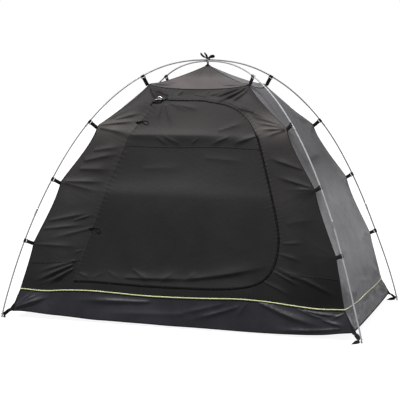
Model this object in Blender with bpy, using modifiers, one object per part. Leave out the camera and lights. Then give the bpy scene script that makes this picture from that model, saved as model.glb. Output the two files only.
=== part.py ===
"""Free-standing two-person inner tent: a fabric body hung by clips inside two crossing bowed poles.

Metres, +Z up. The origin is on the ground under the crown, +X runs along the long side
and -Y is the front, where the D-shaped door is. Run it in Blender, or with
blender --background --python part.py
"""

import math

import bmesh
import bpy
from mathutils import Matrix, Vector
from mathutils.geometry import interpolate_bezier

# Driving dimensions of the floor and the bathtub edge
FLOOR_LENGTH = 2.35
FLOOR_DEPTH = 1.40
TUB_TOP = 0.196
EDGE_LIFT = 0.016
CORNER_LIFT = 0.056
FLAT_HALF_LENGTH = 0.53
FLAT_HALF_DEPTH = 0.58
CLOTH = 0.004
TUB_RIM = 0.0012

# The bowed poles: a superellipse in each diagonal plane, foot to foot over the crown
POLE_HALF_SPAN = 1.234
CROWN_HEIGHT = 1.746
POLE_RISE_POWER = 1.166
POLE_SPAN_POWER = 0.437
POLE_RADIUS = 0.00425
POLE_STEPS = 4

# The fabric's corner seams: a superellipse through the clip points, scalloped between them
SEAM_HALF_SPAN = 1.1527
SEAM_TOP = 1.672
SEAM_RISE_POWER = 1.287
SEAM_SPAN_POWER = 0.4346
SCALLOPS = (0.002, 0.008, 0.024, 0.027)
WALL_TOP = 1.571
FRONT_BULGE = 0.050
SIDE_BULGE = 0.115

# The roof over the walls
APEX_HEIGHT = 1.714
APEX_HALF = 0.020
RIDGE_SAG = 0.012
ROOF_CLOTH = 0.008

# Clips and corner straps: height of each on the pole, and the shape of one
CLIP_HEIGHTS = (0.525, 0.941, 1.329, 1.638)
STRAP_HEIGHT = 0.024
CLIP_BORE = 0.0048
CLIP_OUTER = 0.0085
CLIP_LENGTH = 0.020
WEB_THICKNESS = 0.003

# The D-shaped door in the front wall, as X and Z on the wall
HINGE_FOOT = (-0.731, 0.259)
HINGE_KNEE = (-0.436, 1.223)
HINGE_HEAD = (-0.262, 1.486)
ZIP_CURVES = (
    ((0.220, 0.259), (0.484, 0.259), (0.665, 0.296), (0.665, 0.581)),
    ((0.665, 0.581), (0.665, 0.683), (0.558, 0.985), (0.501, 1.149)),
    ((0.501, 1.149), (0.409, 1.420), (0.273, 1.486), (-0.020, 1.486)),
)
CURVE_STEPS = 6
DOOR_GAP = 0.005
HINGE_GAP = 0.0006
ZIP_RADIUS = 0.003
ZIP_END = 0.018

# Small fittings
SEAT = 0.0003
PIPING_RADIUS = 0.003
TOGGLE_HEIGHTS = (1.327, 0.622)
TOGGLE_RADIUS = 0.006
TOGGLE_LENGTH = 0.036
TOGGLE_OFFSET = 0.016
SLIDER_SIZE = (0.030, 0.014, 0.007)
SLIDER_INSET = 0.030

RATIO = FLOOR_DEPTH / FLOOR_LENGTH
DIAGONAL = math.hypot(1.0, RATIO)
CORNERS = {"front_left": (-1, -1), "front_right": (1, -1), "back_right": (1, 1), "back_left": (-1, 1)}


def lerp(a, b, t):
    return a + (b - a) * t


# Curves of the frame and of the fabric, as X over Z in a diagonal plane

def pole_half(z):
    """X of the pole at height z; its Y is RATIO times that."""
    return POLE_HALF_SPAN * (1.0 - (z / CROWN_HEIGHT) ** POLE_RISE_POWER) ** POLE_SPAN_POWER


def hull_half(z):
    """X of the smooth curve through the fabric's clip points."""
    return SEAM_HALF_SPAN * (1.0 - (z / SEAM_TOP) ** SEAM_RISE_POWER) ** SEAM_SPAN_POWER


def pole_frame(z):
    """In-plane point (s, z), tangent up the pole and inward normal, with s along the diagonal."""
    step = 0.002
    low, high = max(z - step, 1e-6), z + step
    tangent = Vector(((pole_half(high) - pole_half(low)) * DIAGONAL, high - low)).normalized()
    return Vector((pole_half(max(z, 1e-6)) * DIAGONAL, z)), tangent, Vector((-tangent.y, tangent.x))


def seat_on_seam(z, along=0.0):
    """Reach square to the pole, from its point at z moved along it, to the fabric, and the height there."""
    point, tangent, inward = pole_frame(z)
    near, far = 0.0, 0.15
    for _ in range(40):
        reach = (near + far) / 2
        s, height = point + tangent * along + inward * reach
        if s > hull_half(height) * DIAGONAL:
            near = reach
        else:
            far = reach
    return reach, height


SEAM_STATIONS = [TUB_TOP] + [seat_on_seam(z)[1] for z in CLIP_HEIGHTS]


def seam_half(z):
    """X of the corner seam: straight pulls from clip to clip, each sagging inward."""
    for low, high, sag in zip(SEAM_STATIONS, SEAM_STATIONS[1:], SCALLOPS):
        if z <= high:
            break
    t = (z - low) / (high - low)
    return lerp(hull_half(low), hull_half(high), t) - sag * 4 * t * (1 - t)


def mid_half(z, scale, bulge):
    """Half depth of a wall at its middle: a straight line bowed out by bulge."""
    t = (z - TUB_TOP) / (WALL_TOP - TUB_TOP)
    return scale * lerp(hull_half(TUB_TOP), hull_half(WALL_TOP), t) + bulge * 4 * t * (1 - t)


def wall_reach(share, z, scale, bulge):
    """Distance of a wall from the Z axis. share runs from -1 to 1 between its two corner seams."""
    middle = mid_half(z, scale, bulge)
    hull = scale * hull_half(z)
    return middle + (hull - middle) * share**2 - (hull - scale * seam_half(z)) * share**8


def front_depth(x, z):
    """Distance of the front wall's outer face in front of the Z axis at X and Z."""
    return wall_reach(x / seam_half(z), z, RATIO, FRONT_BULGE)


def front_point(x, z, proud=0.0):
    """A point on the front wall's outer face, or proud of it along its normal."""
    step = 0.002
    slope_x = (front_depth(x + step, z) - front_depth(x - step, z)) / (2 * step)
    slope_z = (front_depth(x, z + step) - front_depth(x, z - step)) / (2 * step)
    normal = Vector((-slope_x, -1.0, -slope_z)).normalized()
    return Vector((x, -front_depth(x, z), z)) + normal * proud, normal


def surface_matrix(x, z, proud, lean):
    """Frame on the front wall: local Z out of the cloth, local X along the given lean in the wall."""
    centre, normal = front_point(x, z, proud)
    along = Vector((lean[0], 0, lean[1]))
    along = (along - normal * along.dot(normal)).normalized()
    turn = Matrix((along, normal.cross(along), normal)).transposed().to_4x4()
    return Matrix.Translation(centre) @ turn


def end_pull(x):
    """How far the short ends are drawn up at x: 0 over the flat middle, 1 at the ends."""
    return (max(abs(x) - FLAT_HALF_LENGTH, 0.0) / (FLOOR_LENGTH / 2 - FLAT_HALF_LENGTH)) ** 2


def edge_height(x):
    """Height of the floor's long edges, which the taut walls hold off the ground."""
    return lerp(EDGE_LIFT, CORNER_LIFT, end_pull(x))


# Shared making functions

def material(name, colour, roughness, metallic=0.0):
    made = bpy.data.materials.new(name)
    made.use_nodes = True
    shader = made.node_tree.nodes["Principled BSDF"]
    shader.inputs["Base Color"].default_value = (*colour, 1.0)
    shader.inputs["Roughness"].default_value = roughness
    shader.inputs["Metallic"].default_value = metallic
    return made


def add(name, data, finish, matrix=None):
    """One named object for one sub-part."""
    made = bpy.data.objects.new(name, data)
    if not data.materials:
        data.materials.append(finish)
    if matrix is not None:
        made.matrix_world = matrix
    tent.objects.link(made)
    return made


def mesh_from(name, bm):
    bmesh.ops.recalc_face_normals(bm, faces=bm.faces)
    data = bpy.data.meshes.new(name)
    bm.to_mesh(data)
    bm.free()
    data.shade_smooth()
    data.set_sharp_from_angle(angle=math.radians(35))
    return data


def sheet(name, columns, rows, place, inward, finish):
    """A cloth panel: a grid laid on its outer face by place(column, row shares), then thickened inward."""
    bm = bmesh.new()
    bmesh.ops.create_grid(bm, x_segments=columns, y_segments=rows, size=0.5)
    for vert in bm.verts:
        vert.co = place(vert.co.x + 0.5, vert.co.y + 0.5)
    thickened = bmesh.ops.extrude_face_region(bm, geom=bm.faces[:])
    for item in thickened["geom"]:
        if isinstance(item, bmesh.types.BMVert):
            item.co = inward(item.co)
    return add(name, mesh_from(name, bm), finish)


def towards_axis(axis, thickness):
    """Moves a point towards the Z axis so that axis loses thickness, which keeps it on the mitre."""
    def move(point):
        share = 1.0 - thickness / abs(point[axis])
        return Vector((point.x * share, point.y * share, point.z))
    return move


def tube(name, points, radius, resolution, finish, cyclic=False):
    """A round cord or rod along a list of points."""
    data = bpy.data.curves.new(name, "CURVE")
    data.dimensions = "3D"
    data.bevel_depth = radius
    data.bevel_resolution = resolution
    data.use_fill_caps = not cyclic
    spline = data.splines.new("POLY")
    spline.points.add(len(points) - 1)
    for target, point in zip(spline.points, points):
        target.co = (*point, 1.0)
    spline.use_cyclic_u = cyclic
    return add(name, data, finish)


def as_mesh(curve_object, finish):
    """The curve object made a welded mesh, so that it can be joined to others."""
    bpy.context.view_layer.update()
    graph = bpy.context.evaluated_depsgraph_get()
    data = bpy.data.meshes.new_from_object(curve_object.evaluated_get(graph))
    bm = bmesh.new()
    bm.from_mesh(data)
    bmesh.ops.remove_doubles(bm, verts=bm.verts, dist=0.00005)
    bmesh.ops.recalc_face_normals(bm, faces=bm.faces)
    bm.to_mesh(data)
    bm.free()
    matrix = curve_object.matrix_world.copy()
    name = curve_object.name
    bpy.data.objects.remove(curve_object)
    data.materials.clear()
    return add(name, data, finish, matrix)


def join_to(body, *others):
    """Boolean union of the others into body; the others become hidden helpers."""
    for other in others:
        union = body.modifiers.new("join_" + other.name, "BOOLEAN")
        union.operation = "UNION"
        union.object = other
        other.hide_render = True
        other.display_type = "WIRE"
        tent.objects.unlink(other)
        helpers.objects.link(other)


# The four sides. Each has the axis it faces, its sign, its plan scale and its bow

SIDES = {
    "front": (1, -1, RATIO, FRONT_BULGE),
    "right": (0, 1, 1.0, SIDE_BULGE),
    "back": (1, 1, RATIO, FRONT_BULGE),
    "left": (0, -1, 1.0, SIDE_BULGE),
}


def side_point(side, share, half, reach, z):
    """Point of a side: share along it, half its corner's X at this height, reach its distance out."""
    axis, sign, _, _ = SIDES[side]
    along = share * (half - SEAT) * (1.0 if axis == 1 else RATIO)
    return Vector((along, sign * reach, z)) if axis == 1 else Vector((sign * reach, along, z))


def whole_wall(side, name, low, high, columns, rows, finish):
    _, _, scale, bulge = SIDES[side]

    def place(u, v):
        share, z = 2 * u - 1, lerp(low, high, v)
        return side_point(side, share, seam_half(z), wall_reach(share, z, scale, bulge), z)

    return sheet(name, columns, rows, place, towards_axis(SIDES[side][0], CLOTH), finish)


def tub_wall(side, finish):
    """Bathtub edge of the groundsheet, leaning in from the floor to the piping."""
    axis, _, scale, _ = SIDES[side]

    def place(u, v):
        share = 2 * u - 1
        floor_x = share * FLOOR_LENGTH / 2 if axis == 1 else FLOOR_LENGTH / 2
        half = lerp(FLOOR_LENGTH / 2, seam_half(TUB_TOP), v)
        z = lerp(edge_height(floor_x) + CLOTH + TUB_RIM, TUB_TOP - SEAT / 2, v)
        return side_point(side, share, half, scale * half, z)

    return sheet(f"tub_{side}", 12 if axis == 1 else 4, 2, place, towards_axis(axis, CLOTH), finish)


def roof_panel(side, finish):
    """Triangle from the wall's top edge to the apex, with sagging ridges."""
    axis, _, scale, _ = SIDES[side]
    low_half = seam_half(WALL_TOP)

    def place(u, v):
        half = lerp(low_half, APEX_HALF, v)
        sag = RIDGE_SAG * 4 * v * (1 - v)
        z = lerp(WALL_TOP + SEAT, APEX_HEIGHT, (low_half - half) / low_half) - sag
        return side_point(side, 2 * u - 1, half, scale * half, z)

    return sheet(f"roof_{side}", 4, 4, place, towards_axis(axis, ROOF_CLOTH), finish)


def groundsheet(finish):
    """The floor: flat on the ground in the middle, its long edges lifted and its ends drawn up."""
    end_bays = 5
    bays = 2 * end_bays + 1
    rows = (-FLOOR_DEPTH / 2, -FLAT_HALF_DEPTH, FLAT_HALF_DEPTH, FLOOR_DEPTH / 2)

    def place(u, v):
        bay, row = round(u * bays), round(v * (len(rows) - 1))
        outward = end_bays - bay if bay <= end_bays else bay - end_bays - 1
        x = lerp(FLAT_HALF_LENGTH, FLOOR_LENGTH / 2, outward / end_bays)
        x = -x if bay <= end_bays else x
        inside = 0 < row < len(rows) - 1
        return Vector((x, rows[row], CORNER_LIFT * end_pull(x) if inside else edge_height(x)))

    return sheet("groundsheet", bays, len(rows) - 1, place, lambda p: p + Vector((0, 0, CLOTH)), finish)


def piping(finish):
    """Round cord on the seam between the walls and the bathtub edge."""
    out = PIPING_RADIUS * 1.04 + SEAT
    half_x = seam_half(TUB_TOP) + out
    half_y = RATIO * seam_half(TUB_TOP) + out
    turn = 0.0034
    points = []
    for corner, (sign_x, sign_y) in enumerate(((1, 1), (-1, 1), (-1, -1), (1, -1))):
        for step in range(4):
            angle = math.radians(90 * corner + 30 * step)
            points.append((
                sign_x * (half_x - turn) + turn * math.cos(angle),
                sign_y * (half_y - turn) + turn * math.sin(angle),
                TUB_TOP,
            ))
    return tube("piping", points, PIPING_RADIUS, 1, finish, cyclic=True)


# The front wall around the door, and the door

def hinge_x(z):
    """X of the door's sewn edge: up from the foot to the knee, then leaning further in to the head."""
    low, high = (HINGE_FOOT, HINGE_KNEE) if z <= HINGE_KNEE[1] else (HINGE_KNEE, HINGE_HEAD)
    return lerp(low[0], high[0], (z - low[1]) / (high[1] - low[1]))


def opening_edge(inset):
    """Points up the zip's curved side as X and Z, moved into the door by inset."""
    points = []
    for curve in ZIP_CURVES:
        part = interpolate_bezier(*(Vector((*p, 0)) for p in curve), CURVE_STEPS + 1)
        points += part[:-1]
    points.append(Vector((*ZIP_CURVES[-1][-1], 0)))
    moved = []
    for index, point in enumerate(points):
        before, after = points[max(index - 1, 0)], points[min(index + 1, len(points) - 1)]
        along = (after - before).normalized()
        if index in (0, len(points) - 1):
            along = Vector((1, 0, 0)) if index == 0 else Vector((-1, 0, 0))
        moved.append(point + Vector((-along.y, along.x, 0)) * inset)
    return [(p.x, p.y) for p in moved]


def with_knee(edge):
    """The edge's points with one more at the knee's height."""
    knee = HINGE_KNEE[1]
    above = next(i for i, (_, z) in enumerate(edge) if z > knee)
    (x0, z0), (x1, z1) = edge[above - 1], edge[above]
    return edge[:above] + [(lerp(x0, x1, (knee - z0) / (z1 - z0)), knee)] + edge[above:]


def front_grid(name, columns, edges, finish):
    """A piece of the front wall from rows of (left x, right x, z)."""
    def place(u, v):
        left, right, z = edges[round(v * (len(edges) - 1))]
        x = lerp(left, right, u)
        return Vector((x, -front_depth(x, z), z))

    return sheet(name, columns, len(edges) - 1, place, towards_axis(1, CLOTH), finish)


def front_wall(finish):
    low, high = HINGE_FOOT[1] - DOOR_GAP / 2, HINGE_HEAD[1] + DOOR_GAP / 2
    whole_wall("front", "front_wall_bottom", TUB_TOP + SEAT / 2, low - SEAT, 10, 1, finish)
    whole_wall("front", "front_wall_top", high + SEAT, WALL_TOP - SEAT / 2, 10, 2, finish)
    rows_below, rows_above = 11, 3
    heights = [lerp(low, HINGE_KNEE[1], row / rows_below) for row in range(rows_below)]
    heights += [lerp(HINGE_KNEE[1], high, row / rows_above) for row in range(rows_above + 1)]
    left = [(-seam_half(z) + SEAT, hinge_x(z) - HINGE_GAP / 2, z) for z in heights]
    front_grid("front_wall_left", 4, left, finish)
    right = [(x, seam_half(z) - SEAT, z) for x, z in opening_edge(-DOOR_GAP / 2)]
    front_grid("front_wall_right", 5, right, finish)


def hinge_axis():
    """A point on the door's axis and its direction up the sewn edge, just in front of the wall's bow."""
    foot, knee = (Vector((x, -front_depth(x, z), z)) for x, z in (HINGE_FOOT, HINGE_KNEE))
    bow = 0.0
    steps = 60
    for i in range(steps + 1):
        on_line = foot.lerp(knee, i / steps)
        bow = max(bow, on_line.y + front_depth(on_line.x, on_line.z))
    return foot - Vector((0, bow + 0.001, 0)), (knee - foot).normalized()


def door(finish, dark, metal):
    """The door panel with its zip cord and slider along the unsewn edges, all hung on the door's axis."""
    edge = opening_edge(DOOR_GAP / 2)
    rows = [(hinge_x(z) + HINGE_GAP / 2, x, z) for x, z in with_knee(edge)]
    panel = front_grid("door_panel", 8, rows, finish)
    foot_x = hinge_x(edge[0][1]) + ZIP_END
    head_x = hinge_x(edge[-1][1]) + ZIP_END
    side_steps = 8
    below = [(lerp(foot_x, edge[0][0], i / side_steps), edge[0][1]) for i in range(side_steps)]
    above = [(lerp(edge[-1][0], head_x, i / side_steps), edge[-1][1]) for i in range(1, side_steps + 1)]
    proud = ZIP_RADIUS + 2 * SEAT
    path = [front_point(x, z, proud)[0] for x, z in below + edge + above]
    cord = tube("door_zip", path, ZIP_RADIUS, 1, dark)
    bm = bmesh.new()
    bmesh.ops.create_cube(bm, size=1.0)
    for vert in bm.verts:
        vert.co = Vector([c * s for c, s in zip(vert.co, SLIDER_SIZE)])
    slider = add("zip_slider", mesh_from("zip_slider", bm), metal)
    over_zip = 2 * ZIP_RADIUS + SLIDER_SIZE[2] / 2 + 4 * SEAT
    slider.matrix_world = surface_matrix(head_x + SLIDER_INSET - ZIP_END, edge[-1][1], over_zip, (1.0, 0.0))
    rounding = slider.modifiers.new("rounding", "BEVEL")
    rounding.width = 0.002
    rounding.segments = 2
    axis_point, direction = hinge_axis()
    pivot = bpy.data.objects.new("door_hinge", None)
    turn = direction.to_track_quat("Z", "Y").to_matrix().to_4x4()
    pivot.matrix_world = Matrix.Translation(axis_point) @ turn
    tent.objects.link(pivot)
    for hung in (panel, cord, slider):
        hung.parent = pivot
        hung.matrix_parent_inverse = pivot.matrix_world.inverted()


# Poles, clips and straps

def plan_direction(corner):
    sign_x, sign_y = CORNERS[corner]
    return Vector((sign_x, sign_y * RATIO, 0)) / DIAGONAL


def pole(name, start_corner, raise_crown, finish):
    """A bowed pole from one corner over the crown to the opposite one, straight where a clip grips it."""
    grip = CLIP_LENGTH / 2 + 0.002
    stations = [STRAP_HEIGHT, *CLIP_HEIGHTS]
    half = []
    previous = 0.0
    for height in stations:
        centre, tangent, _ = pole_frame(height)
        for step in range(1, POLE_STEPS):
            z = lerp(previous, height - grip * tangent.y, step / POLE_STEPS)
            if z - previous > grip / 2:
                half.append(pole_frame(z)[0])
        half += [centre - tangent * grip, centre + tangent * grip]
        previous = half[-1].y
    foot_lean = pole_frame(0.001)[1].x
    half.insert(0, Vector((POLE_HALF_SPAN * DIAGONAL, POLE_RADIUS * abs(foot_lean))))
    last = half[-1]
    crown_steps = 5
    for step in range(1, crown_steps):
        s = lerp(last.x, 0.0, step / crown_steps)
        half.append(Vector((s, CROWN_HEIGHT - (CROWN_HEIGHT - last.y) * (s / last.x) ** 2)))
    half.append(Vector((0.0, CROWN_HEIGHT)))
    out = plan_direction(start_corner)
    blend = half[-crown_steps].x

    def lift(s):
        return raise_crown * max(0.0, 1 - (s / blend) ** 2)

    up = [out * p.x + Vector((0, 0, p.y + lift(p.x))) for p in half]
    down = [Vector((-p.x, -p.y, p.z)) for p in reversed(up[:-1])]
    return tube(name, up + down, POLE_RADIUS, 2, finish)


def clip_outline(reach):
    """Flat outline of a clip seen along the pole: a ring on the pole and a web tail reaching inward."""
    data = bpy.data.curves.new("clip_outline", "CURVE")
    data.dimensions = "2D"
    data.fill_mode = "BOTH"
    data.extrude = CLIP_LENGTH / 2
    half = WEB_THICKNESS / 2
    start = math.asin(half / CLIP_OUTER)
    sides = 12
    outer = [(reach - SEAT, -half), (reach - SEAT, half)]
    for i in range(sides + 1):
        angle = lerp(start, 2 * math.pi - start, i / sides)
        outer.append((CLIP_OUTER * math.cos(angle), CLIP_OUTER * math.sin(angle)))
    inner = []
    for i in range(sides):
        angle = 2 * math.pi * i / sides
        inner.append((CLIP_BORE * math.cos(angle), CLIP_BORE * math.sin(angle)))
    for ring in (outer, inner):
        spline = data.splines.new("POLY")
        spline.points.add(len(ring) - 1)
        for target, (x, y) in zip(spline.points, ring):
            target.co = (x, y, 0, 1)
        spline.use_cyclic_u = True
    return data


def clip_matrix(corner, height):
    """Frame of a clip on the pole's axis: local X inward along its tail, local Z up the pole."""
    point, tangent, inward = pole_frame(height)
    out = plan_direction(corner)
    along_tail = out * inward.x + Vector((0, 0, inward.y))
    along_pole = out * tangent.x + Vector((0, 0, tangent.y))
    turn = Matrix((along_tail, along_pole.cross(along_tail), along_pole)).transposed().to_4x4()
    return Matrix.Translation(out * point.x + Vector((0, 0, point.y))) @ turn


def place_clips(number, height, finish):
    """The same clip at all four corners, at one height on the poles."""
    ends = (-CLIP_LENGTH / 2, 0.0, CLIP_LENGTH / 2)
    outline = clip_outline(min(seat_on_seam(height, along)[0] for along in ends))
    outline.materials.append(finish)
    for corner in CORNERS:
        add(f"clip_{corner}_{number}", outline, finish, clip_matrix(corner, height))


def place_corner_straps(finish):
    """A strap at each corner from the floor to the pole's foot: a clip's outline with a slanted tail."""
    point, tangent, inward = pole_frame(STRAP_HEIGHT)
    to_corner = Vector((FLOOR_LENGTH / 2 * DIAGONAL, CORNER_LIFT + CLOTH + TUB_RIM)) - point
    reach, climb = to_corner.dot(inward), to_corner.dot(tangent)
    slant = Matrix.Identity(4)
    slant[2][0] = climb / reach
    for corner in CORNERS:
        strap = as_mesh(add(f"corner_strap_{corner}", clip_outline(reach), finish), finish)
        strap.data.transform(slant)
        strap.matrix_world = clip_matrix(corner, STRAP_HEIGHT)


def crown_tie(finish):
    """Tape from the roof's apex round both poles at the crown, tied in a bow on top."""
    web = 0.002
    room = 0.009
    below = CROWN_HEIGHT - POLE_RADIUS - 2 * SEAT
    above = CROWN_HEIGHT + 3 * POLE_RADIUS + 4 * SEAT
    data = bpy.data.curves.new("crown_band", "CURVE")
    data.dimensions = "2D"
    data.fill_mode = "BOTH"
    data.extrude = 0.005
    for wall in (web, 0.0):
        spline = data.splines.new("POLY")
        spline.points.add(3)
        for target, (side, end) in zip(spline.points, ((-1, 0), (1, 0), (1, 1), (-1, 1))):
            y = side * (room + wall)
            z = above + wall if end else below - wall
            target.co = (y, z, 0, 1)
        spline.use_cyclic_u = True
    facing = Matrix(((0, 0, 1), (1, 0, 0), (0, 1, 0))).to_4x4()
    band = as_mesh(add("crown_tie", data, finish, facing), finish)

    cap_low = APEX_HEIGHT - (APEX_HEIGHT - WALL_TOP) * APEX_HALF / seam_half(WALL_TOP) + 2 * SEAT
    cap_high = APEX_HEIGHT + 0.004
    bm = bmesh.new()
    bmesh.ops.create_cone(
        bm, cap_ends=True, segments=4, radius1=1.15 * APEX_HALF * math.sqrt(2), radius2=0.006,
        depth=cap_high - cap_low, matrix=Matrix.Rotation(math.pi / 4, 4, "Z"),
    )
    for vert in bm.verts:
        vert.co.y *= RATIO
        vert.co.z += (cap_low + cap_high) / 2
    cap = add("apex_cap", mesh_from("apex_cap", bm), finish)

    bm = bmesh.new()
    stem_low, stem_high = cap_high - 0.002, below - web / 2
    bmesh.ops.create_cube(bm, size=1.0)
    for vert in bm.verts:
        vert.co = Vector((vert.co.x * 0.008, vert.co.y * 0.004, lerp(stem_low, stem_high, vert.co.z + 0.5)))
    stem = add("crown_stem", mesh_from("crown_stem", bm), finish)

    top = above + web
    strand = 0.0034
    bow = [
        (-0.048, -0.006, top + 0.036), (-0.036, -0.006, top + 0.021), (-0.020, -0.006, top + 0.008),
        (-0.006, -0.006, top + 0.0010), (0.010, -0.006, top + 0.0016), (0.028, -0.005, top + 0.012),
        (0.042, -0.003, top + 0.016), (0.047, 0.001, top + 0.013), (0.042, 0.005, top + 0.008),
        (0.026, 0.006, top + 0.004), (0.008, 0.006, top + 0.0010), (-0.004, 0.006, top + 0.0014),
        (-0.014, 0.006, top + 0.012), (-0.020, 0.006, top + 0.026), (-0.022, 0.006, top + 0.038),
    ]
    ribbon = as_mesh(tube("crown_bow", bow, strand, 1, finish), finish)
    join_to(band, cap, stem, ribbon)


def toggles(dark):
    """Two toggles beside the sewn edge, which hold the rolled door."""
    hinge = (HINGE_KNEE[0] - HINGE_FOOT[0], HINGE_KNEE[1] - HINGE_FOOT[1])
    for name, z in zip(("toggle_upper", "toggle_lower"), TOGGLE_HEIGHTS):
        bm = bmesh.new()
        bmesh.ops.create_cone(
            bm, cap_ends=True, segments=10, radius1=TOGGLE_RADIUS, radius2=TOGGLE_RADIUS, depth=TOGGLE_LENGTH,
            matrix=Matrix.Rotation(math.pi / 2, 4, "Y"),
        )
        toggle = add(name, mesh_from(name, bm), dark)
        toggle.matrix_world = surface_matrix(hinge_x(z) - TOGGLE_OFFSET, z, TOGGLE_RADIUS + 2 * SEAT, hinge)


def main():
    charcoal = material("charcoal_cloth", (0.045, 0.043, 0.042), 0.75)
    grey = material("grey_cloth", (0.16, 0.16, 0.17), 0.7)
    tub = material("groundsheet_cloth", (0.035, 0.036, 0.045), 0.55)
    lime = material("lime_piping", (0.55, 0.62, 0.18), 0.6)
    black = material("black_webbing", (0.012, 0.012, 0.013), 0.8)
    rod = material("fibreglass_rod", (0.55, 0.56, 0.57), 0.35)
    metal = material("slider_metal", (0.45, 0.45, 0.46), 0.3, 0.9)

    groundsheet(tub)
    for side in SIDES:
        tub_wall(side, tub)
        roof_panel(side, charcoal if side in ("front", "back") else grey)
    piping(lime)
    front_wall(charcoal)
    whole_wall("right", "right_wall", TUB_TOP + SEAT / 2, WALL_TOP - SEAT / 2, 8, 14, grey)
    whole_wall("back", "back_wall", TUB_TOP + SEAT / 2, WALL_TOP - SEAT / 2, 10, 14, charcoal)
    whole_wall("left", "left_wall", TUB_TOP + SEAT / 2, WALL_TOP - SEAT / 2, 8, 14, grey)
    door(charcoal, black, metal)
    toggles(black)
    pole("pole_front_left_to_back_right", "front_left", 2 * POLE_RADIUS + 2 * SEAT, rod)
    pole("pole_front_right_to_back_left", "front_right", 0.0, rod)
    for number, height in enumerate(CLIP_HEIGHTS, start=1):
        place_clips(number, height, black)
    place_corner_straps(black)
    crown_tie(black)


for old in list(bpy.data.objects):
    bpy.data.objects.remove(old)
tent = bpy.data.collections.new("inner_tent")
helpers = bpy.data.collections.new("helpers")
for group in (tent, helpers):
    bpy.context.scene.collection.children.link(group)
main()
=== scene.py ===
# Inner tent of a drive-away awning: cloth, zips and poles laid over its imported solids.
# Metres, +Z up, the front wall with the door faces -Y.

import math
from collections import namedtuple

import bmesh
import bpy
import numpy as np
from mathutils import Matrix, Vector
from mathutils.geometry import delaunay_2d_cdt, interpolate_bezier
from mathutils.kdtree import KDTree


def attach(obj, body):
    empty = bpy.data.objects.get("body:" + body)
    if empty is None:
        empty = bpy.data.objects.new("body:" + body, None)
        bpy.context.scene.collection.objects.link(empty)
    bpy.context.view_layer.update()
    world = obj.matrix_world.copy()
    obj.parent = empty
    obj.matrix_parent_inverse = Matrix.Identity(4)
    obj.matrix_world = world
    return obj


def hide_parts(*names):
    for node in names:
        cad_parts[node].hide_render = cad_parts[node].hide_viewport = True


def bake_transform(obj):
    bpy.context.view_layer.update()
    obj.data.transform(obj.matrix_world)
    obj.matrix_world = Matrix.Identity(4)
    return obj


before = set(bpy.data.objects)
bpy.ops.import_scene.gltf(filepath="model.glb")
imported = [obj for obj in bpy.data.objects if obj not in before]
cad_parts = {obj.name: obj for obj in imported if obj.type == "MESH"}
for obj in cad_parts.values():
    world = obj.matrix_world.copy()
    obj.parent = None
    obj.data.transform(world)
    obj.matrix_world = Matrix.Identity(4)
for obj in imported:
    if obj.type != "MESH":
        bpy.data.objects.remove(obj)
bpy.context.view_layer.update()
print("packed tent loaded:", len(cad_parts), "solids")

# The tent's shape: the values of its solids, with the cloth a little fuller and the apex sharper
tent = {
    "floorLength": 2.35, "floorDepth": 1.40, "edgeLift": 0.016, "cornerLift": 0.056, "flatHalf": 0.53,
    "tubTop": 0.196, "fuller": 0.0065, "wallTop": 1.571,
    "seamSpan": 1.1527, "seamTop": 1.672, "seamRise": 1.287, "seamPower": 0.4346,
    "scallops": (0.004, 0.012, 0.020, 0.027), "frontBow": 0.050, "sideBow": 0.115,
    "apex": 1.714, "apexHalf": 0.005, "ridgeSag": 0.012, "panelSag": 0.010,
    "poleSpan": 1.234, "crown": 1.746, "poleRise": 1.166, "polePower": 0.437, "poleRadius": 0.00425,
    "clipHeights": (0.525, 0.941, 1.329, 1.638), "footRing": 0.024,
}
halfLength, halfDepth = tent["floorLength"] / 2, tent["floorDepth"] / 2
ratio = halfDepth / halfLength
diagonal = math.hypot(1.0, ratio)
corners = {"front_left": (-1, -1), "front_right": (1, -1), "back_right": (1, 1), "back_left": (-1, 1)}
opposite = {"front_left": "back_right", "front_right": "back_left"}

# Each side: the axis it faces and its sign, how far out and how wide it is for each metre
# of the corner seam's X, and its bow
Side = namedtuple("Side", "axis sign scale width bow")
sides = {
    "front": Side(1, -1, ratio, 1.0, tent["frontBow"]),
    "right": Side(0, 1, 1.0, ratio, tent["sideBow"]),
    "back": Side(1, 1, ratio, 1.0, tent["frontBow"]),
    "left": Side(0, -1, 1.0, ratio, tent["sideBow"]),
}


def blendTo(a, b, t):
    return a + (b - a) * t


def smoothStep(low, high, x):
    t = np.clip((np.asarray(x, float) - low) / (high - low), 0, 1)
    return t * t * (3 - 2 * t)


def bell(x):
    return np.exp(-(x**2))


def softCurve(stops, x):
    # smooth line through the stops
    xs, ys = np.array(stops, float).T
    i = np.clip(np.searchsorted(xs, x) - 1, 0, len(xs) - 2)
    t = np.clip((x - xs[i]) / (xs[i + 1] - xs[i]), 0, 1)
    slopes = np.gradient(ys, xs)
    width = xs[i + 1] - xs[i]
    return ((2 * t**3 - 3 * t**2 + 1) * ys[i] + (t**3 - 2 * t**2 + t) * width * slopes[i]
            + (3 * t**2 - 2 * t**3) * ys[i + 1] + (t**3 - t**2) * width * slopes[i + 1])


def poleHalf(z):
    return tent["poleSpan"] * (1 - (z / tent["crown"]) ** tent["poleRise"]) ** tent["polePower"]


def hullHalf(z):
    # the curve through the corners, a little fuller between the bathtub and the roof
    full = tent["fuller"] * smoothStep(0.05, 0.35, z) * (1 - 0.7 * smoothStep(0.50, 1.0, z))
    full = full * (1 - smoothStep(1.30, tent["wallTop"], z))
    return tent["seamSpan"] * (1 - (z / tent["seamTop"]) ** tent["seamRise"]) ** tent["seamPower"] + full


def poleFrame(z):
    # point, direction up the pole and direction inward, as (along the diagonal, up)
    step, ground = 0.002, 1e-6
    low, high = max(z - step, ground), z + step
    up = Vector(((poleHalf(high) - poleHalf(low)) * diagonal, high - low)).normalized()
    return Vector((poleHalf(max(z, ground)) * diagonal, z)), up, Vector((-up.y, up.x))


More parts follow.
